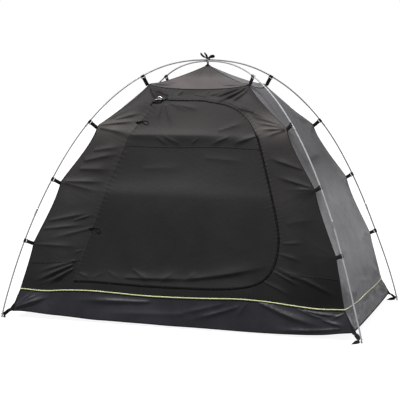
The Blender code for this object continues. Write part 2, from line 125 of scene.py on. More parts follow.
def seatOnSeam(z):
    # how far in from the pole the fabric's corner is, and at what height
    point, _, inward = poleFrame(z)
    near, far = 0.0, 0.15
    for _ in range(40):
        reach = (near + far) / 2
        s, height = point + inward * reach
        near, far = (reach, far) if s > hullHalf(height) * diagonal else (near, reach)
    return reach, height


seamStations = np.array([tent["tubTop"]] + [seatOnSeam(z)[1] for z in tent["clipHeights"]])
stationHalves = hullHalf(seamStations)


def seamHalf(z):
    # X of the corner seam, pulled straight from clip to clip with a sag in each span
    z = np.asarray(z, float)
    i = np.clip(np.searchsorted(seamStations, z) - 1, 0, 3)
    t = (z - seamStations[i]) / (seamStations[i + 1] - seamStations[i])
    high = np.clip(t, 0, 1)
    sag = high**1.6 * (1 - high) ** 0.85 / 0.2056  # 1 at its deepest, in the upper third of the span
    return blendTo(stationHalves[i], stationHalves[i + 1], t) - np.array(tent["scallops"])[i] * sag


tubTopHalf, wallTopHalf = float(seamHalf(tent["tubTop"])), float(seamHalf(tent["wallTop"]))
roofSlope = math.hypot(tent["apex"] - tent["wallTop"], 0.30)


def tubHalf(z):
    return blendTo(halfLength, tubTopHalf, (z - tent["edgeLift"]) / (tent["tubTop"] - tent["edgeLift"]))


def roofHalf(v):
    return blendTo(wallTopHalf, tent["apexHalf"], v / roofSlope)


def wallReach(share, z, scale, bow):
    t = (z - tent["tubTop"]) / (tent["wallTop"] - tent["tubTop"])
    middle = scale * blendTo(hullHalf(tent["tubTop"]), hullHalf(tent["wallTop"]), t) + bow * 4 * t * (1 - t)
    hull = scale * hullHalf(z)
    return middle + (hull - middle) * share**2 - (hull - scale * seamHalf(z)) * share**8


def cornerPull(x):
    # 0 along the flat middle of the floor, 1 at its ends
    return np.maximum(np.abs(x) - tent["flatHalf"], 0) / (halfLength - tent["flatHalf"])


def edgeHeight(x):
    return blendTo(tent["edgeLift"], tent["cornerLift"], cornerPull(x) ** 2)


# How the seams hang: the piping waves along the front, and the seam under the roof sags
seamHang = {
    "frontPiping": ((-1.12, 0), (-0.94, -0.005), (-0.80, 0.007), (-0.62, 0.015), (-0.43, 0.011), (-0.25, 0.005),
                    (-0.05, 0.005), (0.18, 0.011), (0.45, 0.021), (0.62, 0.015), (0.78, 0.001),
                    (0.94, -0.011), (1.12, -0.007)),
    "frontHem": ((-1.175, -0.011), (-1.125, -0.001), (-1.077, 0.004), (-1.032, 0.007), (-0.987, 0.008),
                 (-0.897, 0.0095), (-0.808, 0.0125), (-0.676, 0.0115), (-0.588, 0.0085), (-0.457, 0.0080),
                 (-0.299, 0.0062), (-0.214, 0.0058), (-0.045, 0.0030), (0.122, 0.0036), (0.287, 0.0025),
                 (0.450, 0.0007), (0.611, 0.0004), (0.769, -0.0014),
                 (0.925, -0.0038), (1.003, -0.0032), (1.080, 0.0010), (1.175, 0.0020)),
    "sidePipingDrop": 0.002, "backPipingDrop": 0.006, "frontRightDrop": 0.007, "backRightDrop": 0.025,
    "sidePipingOut": 0.005, "longPipingOut": 0.006, "pipingWave": 0.003, "sideHemDrop": 0.006,
    "roofSeamDip": 0.022, "sideRoofSeamDip": 0.012, "roofCornerRise": 0.012, "frontRightNip": 0.0145,
    # how far up or down the cloth each of them is felt
    "overPiping": 0.11, "underPiping": 0.075, "overRoofSeam": 0.06, "underRoofSeam": 0.09, "roofCorner": 0.05,
    "overNip": 0.15, "underNip": 0.09,
}

# How far each leg of the poles leans out of the fitted bow, by height
poleLean = {
    "front_left": ((0, 0), (0.20, 0.000), (0.50, 0.005), (0.915, 0.010), (1.294, 0.014), (1.60, 0.006), (1.75, 0)),
    "front_right": ((0, 0), (0.20, -0.011), (0.45, -0.009), (0.90, 0), (1.30, 0.002), (1.60, 0), (1.75, 0)),
    "back_right": ((0, 0), (0.20, -0.005), (0.55, -0.012), (0.80, -0.007), (1.00, 0), (1.25, 0.009), (1.50, 0.007),
                   (1.75, 0)),
    "back_left": ((0, 0), (1.75, 0)),
}


def legShift(corner, z):
    stops = poleLean[corner]
    return float(softCurve(stops, min(max(z, 0), stops[-1][0])))


def pipingLift(side, along, share):
    if side == "front":
        return softCurve(seamHang["frontPiping"], along)
    slack = 1 - share**2
    near, far = seamHang["frontRightDrop"], seamHang["backRightDrop"]
    low = {"right": blendTo(near, far, smoothStep(-1, 1, share)), "back": far * smoothStep(0.4, 1, share)}
    drop = seamHang["backPipingDrop" if side == "back" else "sidePipingDrop"]
    return -drop * slack - low.get(side, 0.0) + seamHang["pipingWave"] * np.sin(along * 9 + 1) * slack


def pipingOut(side, share):
    return seamHang["longPipingOut" if sides[side].axis == 1 else "sidePipingOut"] * (1 - share**2)


def hemLift(x, y):
    # the lower edge's wave along the front, running out along the sides and the floor
    return (softCurve(seamHang["frontHem"], x) - 0.002) * smoothStep(0.35, halfDepth, -np.asarray(y, float))


def roofDip(side, share):
    return -seamHang["roofSeamDip" if sides[side].axis == 1 else "sideRoofSeamDip"] * (1 - share**2)


def hung(side, share, v, along, reach, z):
    # the cloth's point, with the corners drawn in and the roof's corners drawn up
    axis, sign, scale, width, _ = sides[side]
    rise = seamHang["roofCornerRise"] * np.abs(share) ** 6 * bell((v - tent["wallTop"]) / seamHang["roofCorner"])
    nipped = {"front": np.maximum(share, 0), "right": np.maximum(-np.asarray(share), 0)}.get(side, 0 * share)
    felt = np.where(v < tent["tubTop"], seamHang["underNip"], seamHang["overNip"])
    inward = rise * 0.9 + seamHang["frontRightNip"] * nipped**6 * bell((v - tent["tubTop"]) / felt)
    along = along - np.sign(along) * inward * width
    along, reach, z = np.broadcast_arrays(along, sign * (reach - inward * scale), z + rise)
    return np.stack((along, reach, z) if axis == 1 else (reach, along, z), -1)


def wallShape(side):
    _, _, scale, width, bow = sides[side]

    def shape(u, v):
        share = u / (seamHalf(v) * width)
        near = bell((v - tent["tubTop"]) / seamHang["overPiping"])
        reach = wallReach(share, v, scale, bow) + pipingOut(side, share) * near
        z = v + pipingLift(side, u, share) * near
        z = z + roofDip(side, share) * bell((tent["wallTop"] - v) / seamHang["underRoofSeam"])
        return hung(side, share, v, u, reach, z)
    return shape


def tubShape(side):
    axis, sign, scale, width, _ = sides[side]

    def shape(u, v):
        half = tubHalf(v)
        share = u / (half * width)
        x, y = (share, sign) if axis == 1 else (sign + 0 * share, share)
        low = edgeHeight(x * halfLength) + 0.002 + hemLift(x * halfLength, y * halfDepth)
        if axis == 0:
            low = low - seamHang["sideHemDrop"] * (1 - share**2)
        near = bell((tent["tubTop"] - v) / seamHang["underPiping"])
        z = blendTo(low, tent["tubTop"], (v - tent["edgeLift"]) / (tent["tubTop"] - tent["edgeLift"]))
        z = z + pipingLift(side, u, share) * near
        return hung(side, share, v, u, scale * half + pipingOut(side, share) * near, z)
    return shape


def roofShape(side):
    _, _, scale, width, _ = sides[side]

    def shape(u, v):
        t = v / roofSlope
        half = roofHalf(v)
        share = u / (half * width)
        z = blendTo(tent["wallTop"], tent["apex"], (wallTopHalf - half) / wallTopHalf)
        z = z - tent["ridgeSag"] * 4 * t * (1 - t) - tent["panelSag"] * t * (1 - t) * 4 * (1 - share**2)
        z = z + roofDip(side, share) * bell(v / seamHang["overRoofSeam"])
        return hung(side, share, tent["wallTop"] + v, u, scale * half, z)
    return shape


def floorShape(u, v):
    rim = smoothStep(0.58, halfDepth, np.abs(v))
    z = blendTo(tent["cornerLift"] * cornerPull(u) ** 2, edgeHeight(u) + hemLift(u, v), rim) + 0.002
    z = z - seamHang["sideHemDrop"] * (1 - (v / halfDepth) ** 2) * smoothStep(1.0, halfLength, np.abs(u))
    return np.stack(np.broadcast_arrays(u, v, z), -1)


# Folds. Each one is a crest from one point of the cloth to another: how far it stands out, how wide
# its upper and its lower flank are, all in millimetres, and sometimes how far it bends, in metres
creaseGain = 1.75


def crest(u, v, fold):
    (u0, v0), (u1, v1), rise, above, below = fold[:5]
    bend = fold[5] if len(fold) > 5 else 0.0
    length = math.hypot(u1 - u0, v1 - v0)
    du, dv = (u1 - u0) / length, (v1 - v0) / length
    along = ((u - u0) * du + (v - v0) * dv) / length
    across = (v - v0) * du - (u - u0) * dv
    if du < 0:
        across = -across
    across = across - bend * 4 * along * (1 - along)
    grown = 0.45 + 0.9 * np.clip(along, 0, 1)
    near = smoothStep(0, 0.10, along) * (1 - smoothStep(0.45, 1, along)) * np.minimum(grown, 0.9)
    flank = np.where(across > 0, above, below) / 1000 * grown
    crisp = 1.4 if below < 60 else 2.0  # broad folds are round, narrow ones have a crisp ridge
    return creaseGain * rise / 1000 * near * np.exp(-(np.abs(across / flank) ** crisp))


def layFolds(u, v, folds):
    high = np.zeros(np.broadcast(u, v).shape)
    for fold in folds:
        high += crest(u, v, fold)
    return high


def gathered(folds):
    # folds that start near a clip are drawn in to it
    seats = [(sign * half, z) for half, z in zip(stationHalves[1:4], seamStations[1:4]) for sign in (-1, 1)]
    drawn = []
    for start, *rest in folds:
        seat = min(seats, key=lambda p: math.dist(p, start))
        pull = 0.75 if math.dist(seat, start) < 0.10 else 0.0
        drawn.append(((blendTo(start[0], seat[0], pull), blendTo(start[1], seat[1], pull)), *rest))
    return drawn


def fan(u, v, centre, towards, count, reach, rise, seed):
    # folds that spread from where a clip or a corner holds the cloth
    dice = np.random.default_rng(seed + 9)
    total = np.zeros(np.broadcast(u, v).shape)
    for i in range(count):
        angle = towards + math.radians(blendTo(-38, 38, (i + 0.5) / count) + dice.uniform(-6, 6))
        far = reach * dice.uniform(0.6, 1.1)
        end = (centre[0] + far * math.cos(angle), centre[1] + far * math.sin(angle))
        flank = dice.uniform(12, 24)
        rises = rise * dice.uniform(0.5, 1.1)
        total += crest(u, v, (centre, end, rises, flank, flank * 0.55, dice.uniform(-0.01, 0.01)))
    return total


def fans(u, v, x, z, lean, count, reach, rise, seed):
    # one to the left and one to the right
    return sum(fan(u, v, (sign * x, z), math.pi / 2 + sign * lean, count, reach, rise, seed + sign)
               for sign in (-1, 1))


def nearestOn(path, u, v):
    # distance to a line of points on the cloth, and how far along it that is
    path = np.asarray(path, float)
    best = np.full(u.shape, 9.0)
    station = np.zeros(u.shape)
    run = 0.0
    for a, b in zip(path[:-1], path[1:]):
        d = b - a
        length = float(np.hypot(*d))
        t = np.clip(((u - a[0]) * d[0] + (v - a[1]) * d[1]) / length**2, 0, 1)
        away = np.hypot(u - a[0] - t * d[0], v - a[1] - t * d[1])
        closer = away < best
        best = np.where(closer, away, best)
        station = np.where(closer, run + t * length, station)
        run += length
    return best, station


def pucker(u, v, path, depth, wave, reach):
    # the small gathers beside a row of stitches
    away, station = nearestOn(path, u, v)
    phase = station * 2 * math.pi / wave + 1.7 * np.sin(station * 11) + 0.9 * np.sin(station * 37)
    return depth * np.exp(-away / reach) * np.sin(phase) * smoothStep(0, 0.006, away)


def runOf(points):
    # how far along a line each of its points is
    return np.concatenate(([0], np.cumsum(np.linalg.norm(np.diff(points, axis=0), axis=1))))


def pointsAt(points, at):
    run = runOf(points)
    return np.stack([np.interp(at, run, points[:, k]) for k in range(points.shape[1])], -1)


def evenly(points, spacing):
    # the same line with its points at even steps
    points = np.asarray(points, float)
    length = runOf(points)[-1]
    return pointsAt(points, np.linspace(0, length, max(2, int(round(length / spacing)) + 1)))


# The door's lines on the front wall, as X and Z
doorLines = {
    "foot": (-0.731, 0.259), "knee": (-0.436, 1.223), "head": (-0.262, 1.486),
    "zip": (
        ((0.220, 0.259), (0.484, 0.259), (0.665, 0.296), (0.665, 0.581)),
        ((0.665, 0.581), (0.665, 0.683), (0.558, 0.985), (0.501, 1.149)),
        ((0.501, 1.149), (0.409, 1.420), (0.273, 1.486), (-0.020, 1.486)),
    ),
    "stitch": 0.006,
}


def hingeX(z):
    foot, knee, head = doorLines["foot"], doorLines["knee"], doorLines["head"]
    return np.interp(z, (foot[1], knee[1], head[1]), (foot[0], knee[0], head[0]))


def zipLine():
    points = [Vector((*doorLines["foot"], 0)), Vector((0.0, doorLines["foot"][1], 0))]
    for curve in doorLines["zip"]:
        points += interpolate_bezier(*(Vector((*p, 0)) for p in curve), 40)
    points.append(Vector((*doorLines["head"], 0)))
    return evenly([(p.x, p.y) for p in points], doorLines["stitch"])


zipPath = zipLine()
sewnPath = evenly([doorLines["foot"], doorLines["knee"], doorLines["head"]], doorLines["stitch"])


def offsetPath(path, inset):
    along = np.gradient(path, axis=0)
    along /= np.linalg.norm(along, axis=1)[:, None]
    return path + np.stack((-along[:, 1], along[:, 0]), -1) * inset


# Rows of stitching that cross the front: the seam of the upper door, and the two side seams
bandSeam = evenly([(x, 1.166 + 0.004 * math.sin(9 * x)) for x in np.linspace(-0.452, 0.492, 60)], 0.008)
leftSeam = evenly([(-1.055, 0.372), (-0.9, 0.380), (-0.697, 0.402)], 0.008)
rightSeam = evenly([(0.665, 0.405), (0.80, 0.385), (1.062, 0.372)], 0.008)

frontFolds = (
    # left of the door, from the third clip down
    ((-0.66, 1.345), (-0.40, 1.445), 4, 24, 9), ((-0.550, 1.339), (-0.357, 1.392), 6, 18, 8),
    ((-0.640, 1.318), (-0.370, 1.334), 8, 14, 8), ((-0.645, 1.266), (-0.395, 1.238), 9, 48, 14),
    ((-0.680, 1.130), (-0.450, 1.165), 5, 26, 15), ((-0.745, 1.059), (-0.455, 1.124), 7, 34, 18),
    ((-0.770, 1.007), (-0.500, 1.010), 7, 36, 22),
    ((-0.820, 0.943), (-0.530, 0.925), 8, 30, 15), ((-0.857, 0.922), (-0.560, 0.850), 6, 26, 16),
    ((-0.960, 0.654), (-0.600, 0.730), 6, 22, 13), ((-0.772, 0.661), (-0.605, 0.716), 5, 10, 7),
    ((-0.995, 0.599), (-0.640, 0.646), 6, 20, 12), ((-0.622, 0.621), (-0.942, 0.535), 5, 20, 14),
    ((-1.026, 0.478), (-0.675, 0.493), 4, 16, 12), ((-0.681, 0.473), (-0.752, 0.450), 3, 8, 6),
    ((-0.710, 0.405), (-1.050, 0.300), 6, 18, 13), ((-0.732, 0.378), (-1.050, 0.240), 11, 19, 13),
    ((-0.730, 0.351), (-0.950, 0.222), 9, 16, 12),
    ((-0.80, 0.300), (-1.04, 0.215), 3, 14, 9),
    # the door: its low roll above the zip, the soft break across its middle, the bulge over the band
    ((-0.40, 0.302), (0.26, 0.326), 8, 44, 13), ((0.06, 0.318), (0.66, 0.452), 10, 50, 16, -0.016),
    ((-0.320, 0.365), (-0.170, 0.285), 4, 22, 17), ((-0.125, 0.290), (0.000, 0.370), 3, 24, 17),
    ((-0.50, 0.345), (-0.37, 0.280), 3, 20, 16), ((0.04, 0.300), (0.150, 0.375), 3, 24, 18),
    ((-0.695, 0.320), (-0.610, 0.280), 4, 15, 12), ((-0.60, 0.284), (-0.49, 0.350), 2, 20, 15),
    ((-0.70, 0.842), (0.70, 0.832), 13, 140, 330), ((-0.50, 1.238), (0.52, 1.240), 13, 95, 36),
    ((-0.245, 1.230), (-0.140, 1.172), 4, 14, 11), ((-0.190, 1.232), (-0.050, 1.174), 5, 16, 12),
    ((0.270, 1.235), (0.130, 1.176), 5, 17, 12), ((0.470, 1.250), (0.280, 1.184), 7, 19, 12),
    ((-0.210, 1.455), (-0.130, 1.285), 4, 20, 15), ((-0.180, 1.462), (-0.030, 1.395), 2, 16, 12),
    ((-0.240, 1.450), (-0.250, 1.330), 2, 16, 12),
    ((0.06, 1.222), (0.00, 1.18), 3, 10, 8), ((0.18, 1.268), (0.400, 1.345), 3, 24, 17),
    ((-0.14, 1.452), (0.06, 1.408), 3, 22, 14),
    ((-0.33, 1.02), (0.02, 1.035), 2, 30, 30), ((0.10, 1.10), (0.44, 1.08), 2, 26, 22),
    # right of the door
    ((0.43, 1.398), (0.290, 1.434), 6, 14, 8), ((0.640, 1.330), (0.330, 1.428), 8, 15, 11, 0.004),
    ((0.640, 1.320), (0.380, 1.385), 9, 13, 10, 0.003),
    ((0.645, 1.306), (0.430, 1.338), 9, 12, 9), ((0.645, 1.295), (0.455, 1.288), 9, 13, 10),
    ((0.640, 1.281), (0.500, 1.240), 6, 13, 11), ((0.800, 1.037), (0.537, 1.116), 6, 24, 8),
    ((0.850, 0.961), (0.595, 0.997), 6, 22, 8), ((0.870, 0.940), (0.735, 0.915), 4, 15, 11),
    ((0.90, 0.905), (0.72, 0.884), 4, 24, 30), ((0.672, 0.512), (0.840, 0.468), 4, 17, 11),
    ((0.68, 0.575), (0.84, 0.588), 3, 13, 10), ((0.639, 0.403), (0.850, 0.303), 6, 13, 9),
    ((0.655, 0.425), (1.02, 0.288), 5, 24, 12), ((0.830, 0.368), (1.085, 0.262), 5, 15, 10),
    ((0.692, 0.397), (0.825, 0.355), 5, 14, 8), ((0.55, 0.345), (0.80, 0.238), 4, 15, 9),
    ((0.70, 0.70), (0.92, 0.74), 3, 40, 30),
    # the strip over the door
    ((0.345, 1.576), (0.100, 1.500), 9, 16, 8), ((0.350, 1.560), (0.146, 1.464), 11, 12, 7),
    ((0.36, 1.545), (0.23, 1.455), 6, 12, 8), ((-0.330, 1.560), (-0.245, 1.498), 5, 18, 11),
    ((-0.300, 1.548), (-0.120, 1.500), 4, 15, 10), ((-0.100, 1.560), (-0.155, 1.500), 3, 17, 12),
    ((-0.020, 1.530), (0.110, 1.505), 4, 16, 11), ((0.085, 1.562), (0.050, 1.496), 3, 15, 12),
    ((-0.355, 1.575), (-0.262, 1.470), 8, 14, 9), ((-0.350, 1.545), (-0.225, 1.540), 5, 13, 9), ((0.20, 1.545),
    (0.05, 1.515), 4, 13, 9),
)
tubFrontFolds = (
    ((-1.150, 0.050), (-1.020, 0.185), 5, 10, 9), ((-1.160, 0.032), (-0.880, 0.160), 11, 32, 10),
    ((-1.130, 0.060), (-0.960, 0.182), 4, 11, 8), ((-0.150, 0.158), (-0.780, 0.128), 10, 20, 14),
    ((0.085, 0.093), (-0.620, 0.061), 6, 34, 30), ((0.335, 0.167), (-0.050, 0.078), 6, 22, 16),
    ((0.450, 0.158), (0.050, 0.049), 7, 18, 13), ((0.540, 0.190), (1.010, 0.054), 13, 26, 17),
    ((0.847, 0.175), (1.110, 0.138), 7, 12, 9), ((0.800, 0.182), (1.050, 0.100), 6, 12, 9),
    ((0.965, 0.115), (1.138, 0.049), 7, 14, 9), ((0.488, 0.182), (0.395, 0.080), 4, 14, 12),
    ((1.120, 0.044), (0.588, 0.033), 6, 18, 12), ((1.125, 0.165), (1.02, 0.110), 4, 10, 8),
)
tubRightFolds = (
    ((0.640, 0.045), (0.420, 0.150), 8, 16, 10), ((0.650, 0.060), (0.540, 0.175), 6, 12, 8), ((0.600, 0.030),
    (0.250, 0.090), 7, 16, 10),
    ((-0.640, 0.120), (-0.380, 0.165), 6, 14, 10), ((-0.600, 0.060), (-0.250, 0.120), 7, 20, 12), ((0.05, 0.150),
    (0.30, 0.175), 5, 14, 9),
)
rightFolds = (
    ((-0.655, 0.235), (-0.560, 0.400), 7, 22, 12), ((-0.640, 0.290), (-0.20, 0.236), 9, 26, 14), ((-0.10, 0.285),
    (0.30, 0.240), 6, 22, 14),
    ((0.600, 0.215), (0.300, 0.330), 8, 22, 13), ((0.610, 0.240), (0.480, 0.380), 6, 16, 11), ((-0.360, 0.215),
    (-0.300, 0.330), 5, 15, 11),
    ((-0.62, 0.245), (-0.40, 0.222), 4, 14, 9), ((0.60, 0.300), (0.30, 0.236), 5, 20, 12),
    ((-0.53, 0.545), (-0.12, 0.470), 4, 60, 34), ((0.53, 0.545), (0.16, 0.470), 4, 50, 34),
    ((-0.385, 1.300), (-0.16, 1.400), 4, 22, 14), ((-0.385, 1.290), (-0.05, 1.235), 4, 30, 16),
    ((0.385, 1.300), (0.14, 1.390), 4, 22, 14), ((0.19, 1.10), (-0.36, 1.085), 5, 60, 30),
    ((-0.20, 0.80), (0.22, 0.78), 3, 90, 70),
)
roofFolds = (
    ((0.345, 0.008), (0.10, 0.070), 5, 20, 9), ((0.345, 0.012), (0.16, 0.120), 4, 18, 10),
    ((-0.345, 0.010), (-0.16, 0.060), 5, 16, 8), ((-0.34, 0.018), (-0.12, 0.110), 4, 15, 9),
    ((-0.010, 0.320), (-0.080, 0.110), 4, 22, 26), ((0.012, 0.320), (0.055, 0.090), 3, 24, 22),
    ((0.000, 0.315), (0.000, 0.150), 2, 16, 16), ((-0.20, 0.012), (0.18, 0.010), 3, 14, 10),
)
wallFolds = {"front": gathered(frontFolds), "right": rightFolds}
tubFolds = {"front": tubFrontFolds, "right": tubRightFolds}
creases = {
    # how strongly each wall is gathered at its clips, and how much the roof's folds are raised
    "clips": {"front": 0.6, "right": 2.2, "back": 5.0, "left": 5.0}, "roofFront": 1.7, "roof": 1.3,
    # folds up from the corners of a side that doesn't show: X, Z, lean, count, reach and rise
    "wallCorner": (1.10, 0.215, 0.9, 4, 0.30, 4.5), "tubCorner": (1.165, 0.035, 1.05, 4, 0.36, 6.0),
    # the gathers beside a row of stitches: depth, wavelength and reach
    "piping": (0.0010, 0.034, 0.022), "roofSeam": (0.0010, 0.030, 0.018), "zip": (0.0012, 0.026, 0.016),
    "sewn": (0.0011, 0.031, 0.016), "seam": (0.0009, 0.024, 0.012), "tubTop": (0.0010, 0.034, 0.02),
    "hem": (0.0012, 0.045, 0.02),
}


def cornerFans(u, v, kind, width, seed):
    x, z, lean, count, reach, rise = creases[kind]
    return fans(u, v, x * width, z, lean, count, reach, rise, seed)


def reliefOf(side, kind):
    # how far the cloth stands out of its smooth shape
    width = sides[side].width
    seed = sorted(sides).index(side) * 97

    def level(half, z):
        return [(-half * width, z), (half * width, z)]

    def wall(u, v):
        high = layFolds(u, v, wallFolds.get(side, ()))
        for i, (z, half) in enumerate(zip(seamStations[1:4], stationHalves[1:4] * width)):
            high += fans(u, v, half - 0.004, z, math.pi / 2, 5, 0.36 * width, creases["clips"][side], seed + 10 * i)
        if side != "front":
            high += 0.003 * np.sin(7 * v + 2.3 * u + seed) * np.sin(3.1 * u / width + 0.7 * seed)
        if side in ("back", "left"):
            high += cornerFans(u, v, "wallCorner", width, seed)
        rows = [(level(1.1, tent["tubTop"]), "piping"), (level(0.36, tent["wallTop"]), "roofSeam")]
        if side == "front":
            rows += [(zipPath[::3], "zip"), (sewnPath[::6], "sewn")]
            rows += [(row[::4], "seam") for row in (bandSeam, leftSeam, rightSeam)]
        ripple = sum(pucker(u, v, row, *creases[name]) for row, name in rows)
        atEnds = smoothStep(0, 0.022, v - tent["tubTop"]) * smoothStep(0, 0.020, tent["wallTop"] - v)
        return (high * atEnds + ripple) * smoothStep(0, 0.020, seamHalf(v) * width - np.abs(u))

    def tub(u, v):
        high = layFolds(u, v, tubFolds.get(side, ()))
        if side != "front":
            high += cornerFans(u, v, "tubCorner", width, seed + 5)
            high += crest(u, v, ((-0.5 * width, 0.12), (0.5 * width, 0.13), 6, 34, 24))
        atEnds = smoothStep(0, 0.016, v - tent["edgeLift"]) * smoothStep(0, 0.016, tent["tubTop"] - v)
        gathers = pucker(u, v, level(1.15, tent["tubTop"]), *creases["tubTop"])
        gathers = gathers + pucker(u, v, level(1.15, tent["edgeLift"]), *creases["hem"])
        return (high * atEnds + gathers) * smoothStep(0, 0.03, 1.15 * width + 0.02 - np.abs(u))

    def roof(u, v):
        high = layFolds(u / width, v, roofFolds) * creases["roofFront" if side == "front" else "roof"]
        return high * smoothStep(0, 0.030, roofHalf(v) * width - np.abs(u)) * smoothStep(0, 0.016, v)

    return {"wall": wall, "tub": tub, "roof": roof}[kind]


class Panel:
    # a smooth shape of cloth with its folds laid on it
    def __init__(self, shape, relief):
        self.shape, self.relief = shape, relief

    def normals(self, surface, u, v, step=0.003):
        across = surface(u + step, v) - surface(u - step, v)
        up = surface(u, v + step) - surface(u, v - step)
        normal = np.cross(across, up)
        normal /= np.linalg.norm(normal, axis=-1)[..., None]
        centre = self.shape(u, v)
        level = abs(float(np.mean(normal[..., 2]))) > 0.9  # the floor's outer face is the one below
        outward = centre * 0 - (0, 0, 1) if level else centre * (1, 1, 0)
        return normal * np.where((normal * outward).sum(-1) < 0, -1, 1)[..., None]

    def cloth(self, u, v):
        return self.shape(u, v) + self.normals(self.shape, u, v) * self.relief(u, v)[..., None]

    def at(self, path, proud=0.0):
        # points on the folded cloth, or just off it, and the cloth's normals there
        u, v = np.asarray(path, float).T
        normal = self.normals(self.cloth, u, v)
        return self.cloth(u, v) + normal * proud, normal


walls = {side: Panel(wallShape(side), reliefOf(side, "wall")) for side in sides}
tubs = {side: Panel(tubShape(side), reliefOf(side, "tub")) for side in sides}
roofs = {side: Panel(roofShape(side), reliefOf(side, "roof")) for side in sides}
ground = Panel(floorShape, lambda u, v: -0.0012 * (1 + np.sin(17 * u + 3 * v) * np.sin(13 * v - 5 * u)))


def moved(matrix, points):
    turn = np.array(matrix.to_3x3())
    return np.asarray(points, float) @ turn.T + np.array(matrix.translation)


def turned(matrix, normals):
    return np.asarray(normals, float) @ np.array(matrix.to_3x3()).T


# Sewing: one object's faces, gathered from cut cloth and from strips laid along lines
class Sewing:
    def __init__(self, faced=False):
        self.points, self.faces, self.maps, self.finishes = [], [], [], []
        self.count, self.faced = 0, faced

    def take(self, points, faces, maps, finish=0):
        self.points.append(np.asarray(points, float).reshape(-1, 3))
        self.faces += [[self.count + i for i in face] for face in faces]
        self.maps += maps
        self.finishes += [finish] * len(faces)
        self.count += len(self.points[-1])

    def strip(self, path, normals, profile, loop=False, finish=0, widths=None):
        # a closed section of (across, proud) pairs carried along a path, its ends capped unless it is a loop
        path, profile = np.asarray(path, float), np.asarray(profile, float)
        normals = np.broadcast_to(np.asarray(normals, float), path.shape)
        tangent = np.roll(path, -1, 0) - np.roll(path, 1, 0) if loop else np.gradient(path, axis=0)
        tangent /= np.linalg.norm(tangent, axis=1)[:, None]
        across = np.cross(tangent, normals)
        across /= np.linalg.norm(across, axis=1)[:, None]
        out = np.cross(across, tangent)
        widths = np.ones(len(path)) if widths is None else np.asarray(widths, float)
        spread = profile[None] * widths[:, None, None]
        points = path[:, None] + across[:, None] * spread[..., :1] + out[:, None] * spread[..., 1:]
        n, m = len(path), len(profile)
        run = runOf(np.concatenate((path, path[:1])))
        around = runOf(np.concatenate((profile, profile[:1])))
        faces, maps = [], []
        for i in range(n if loop else n - 1):
            for j in range(m):
                ahead, beside = (i + 1) % n * m, (j + 1) % m
                faces.append((i * m + j, ahead + j, ahead + beside, i * m + beside))
                maps.append([(run[i + a], around[j + b]) for a, b in ((0, 0), (1, 0), (1, 1), (0, 1))])
        for row, order in () if loop else ((0, 1), (n - 1, -1)):
            faces.append([row * m + j for j in range(m)][::order])
            maps.append(profile.tolist()[::order])
        self.take(points, faces, maps, finish)
        return self

    def along(self, panel, path, proud, profile, **rest):
        # a strip on the folded cloth
        return self.strip(*panel.at(path, proud), profile, **rest)

    def placed(self, matrix, path, normals, profile, **rest):
        # a strip drawn in a moulded piece's own frame
        normals = turned(matrix, np.broadcast_to(normals, np.shape(path)))
        return self.strip(moved(matrix, path), normals, profile, **rest)

    def make(self, name, finishes, body, slot, stands=()):
        mesh = bpy.data.meshes.new(name)
        mesh.from_pydata(np.concatenate(self.points).tolist(), [], self.faces)
        cut = mesh.uv_layers.new(name="cut")
        cut.data.foreach_set("uv", np.array([c for face in self.maps for pair in face for c in pair], np.float32))
        mesh.polygons.foreach_set("material_index", self.finishes)
        for finish in finishes:
            mesh.materials.append(materials[finish])
        if not self.faced:
            bm = bmesh.new()
            bm.from_mesh(mesh)
            bmesh.ops.recalc_face_normals(bm, faces=bm.faces)
            bm.to_mesh(mesh)
            bm.free()
        mesh.shade_smooth()
        piece = bpy.data.objects.new(name, mesh)
        bpy.context.scene.collection.objects.link(piece)
        if body:
            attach(piece, body)
        if stands:
            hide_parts(*stands)
        return piece


def inside(outline, points):
    # which points lie within a closed outline
    x, y = points.T
    found = np.zeros(len(points), bool)
    for (x0, y0), (x1, y1) in zip(outline, np.roll(outline, -1, 0)):
        if y0 != y1:
            found ^= ((y0 > y) != (y1 > y)) & (x < (x1 - x0) * (y - y0) / (y1 - y0) + x0)
    return found


def cutCloth(panel, outline, spacing, opening=None, lift=None):
    # cloth cut to an outline, its threads a hexagonal net, draped on the panel
    loops = [np.asarray(outline, float)] + ([np.asarray(opening, float)] if opening is not None else [])
    edge = np.concatenate(loops)
    low, high = edge.min(0), edge.max(0)
    net = np.array([(x, z) for i, z in enumerate(np.arange(low[1], high[1], spacing * 0.866))
                    for x in np.arange(low[0] + (i % 2) * spacing / 2, high[0], spacing)])
    tree = KDTree(len(edge))
    for i, p in enumerate(edge):
        tree.insert((*p, 0), i)
    tree.balance()
    net = net[[tree.find((*p, 0))[2] > spacing * 0.6 for p in net]]
    links, start = [], 0
    for loop in loops:
        links += [(start + i, start + (i + 1) % len(loop)) for i in range(len(loop))]
        start += len(loop)
    knots = [Vector(p) for p in np.concatenate((edge, net)).tolist()]
    points, _, triangles, *_ = delaunay_2d_cdt(knots, links, [], 1, 1e-7)
    points, triangles = np.array([tuple(p) for p in points]), np.array(triangles)
    if opening is not None:
        triangles = triangles[~inside(loops[1], points[triangles].mean(1))]
    u, v = points.T
    draped = panel.cloth(u, v)
    if lift:
        draped = draped + panel.normals(panel.cloth, u, v) * lift(u, v)[:, None]
    a, b, c = (draped[triangles[:, k]] for k in range(3))
    outward = panel.normals(panel.shape, *points[triangles].mean(1).T)
    backward = (np.cross(b - a, c - a) * outward).sum(1) < 0
    triangles[backward] = triangles[backward][:, ::-1]
    used, fresh = np.unique(triangles, return_inverse=True)
    triangles = fresh.reshape(-1, 3)
    sewing = Sewing(faced=True)
    sewing.take(draped[used], triangles.tolist(), points[used][triangles].tolist())
    return sewing


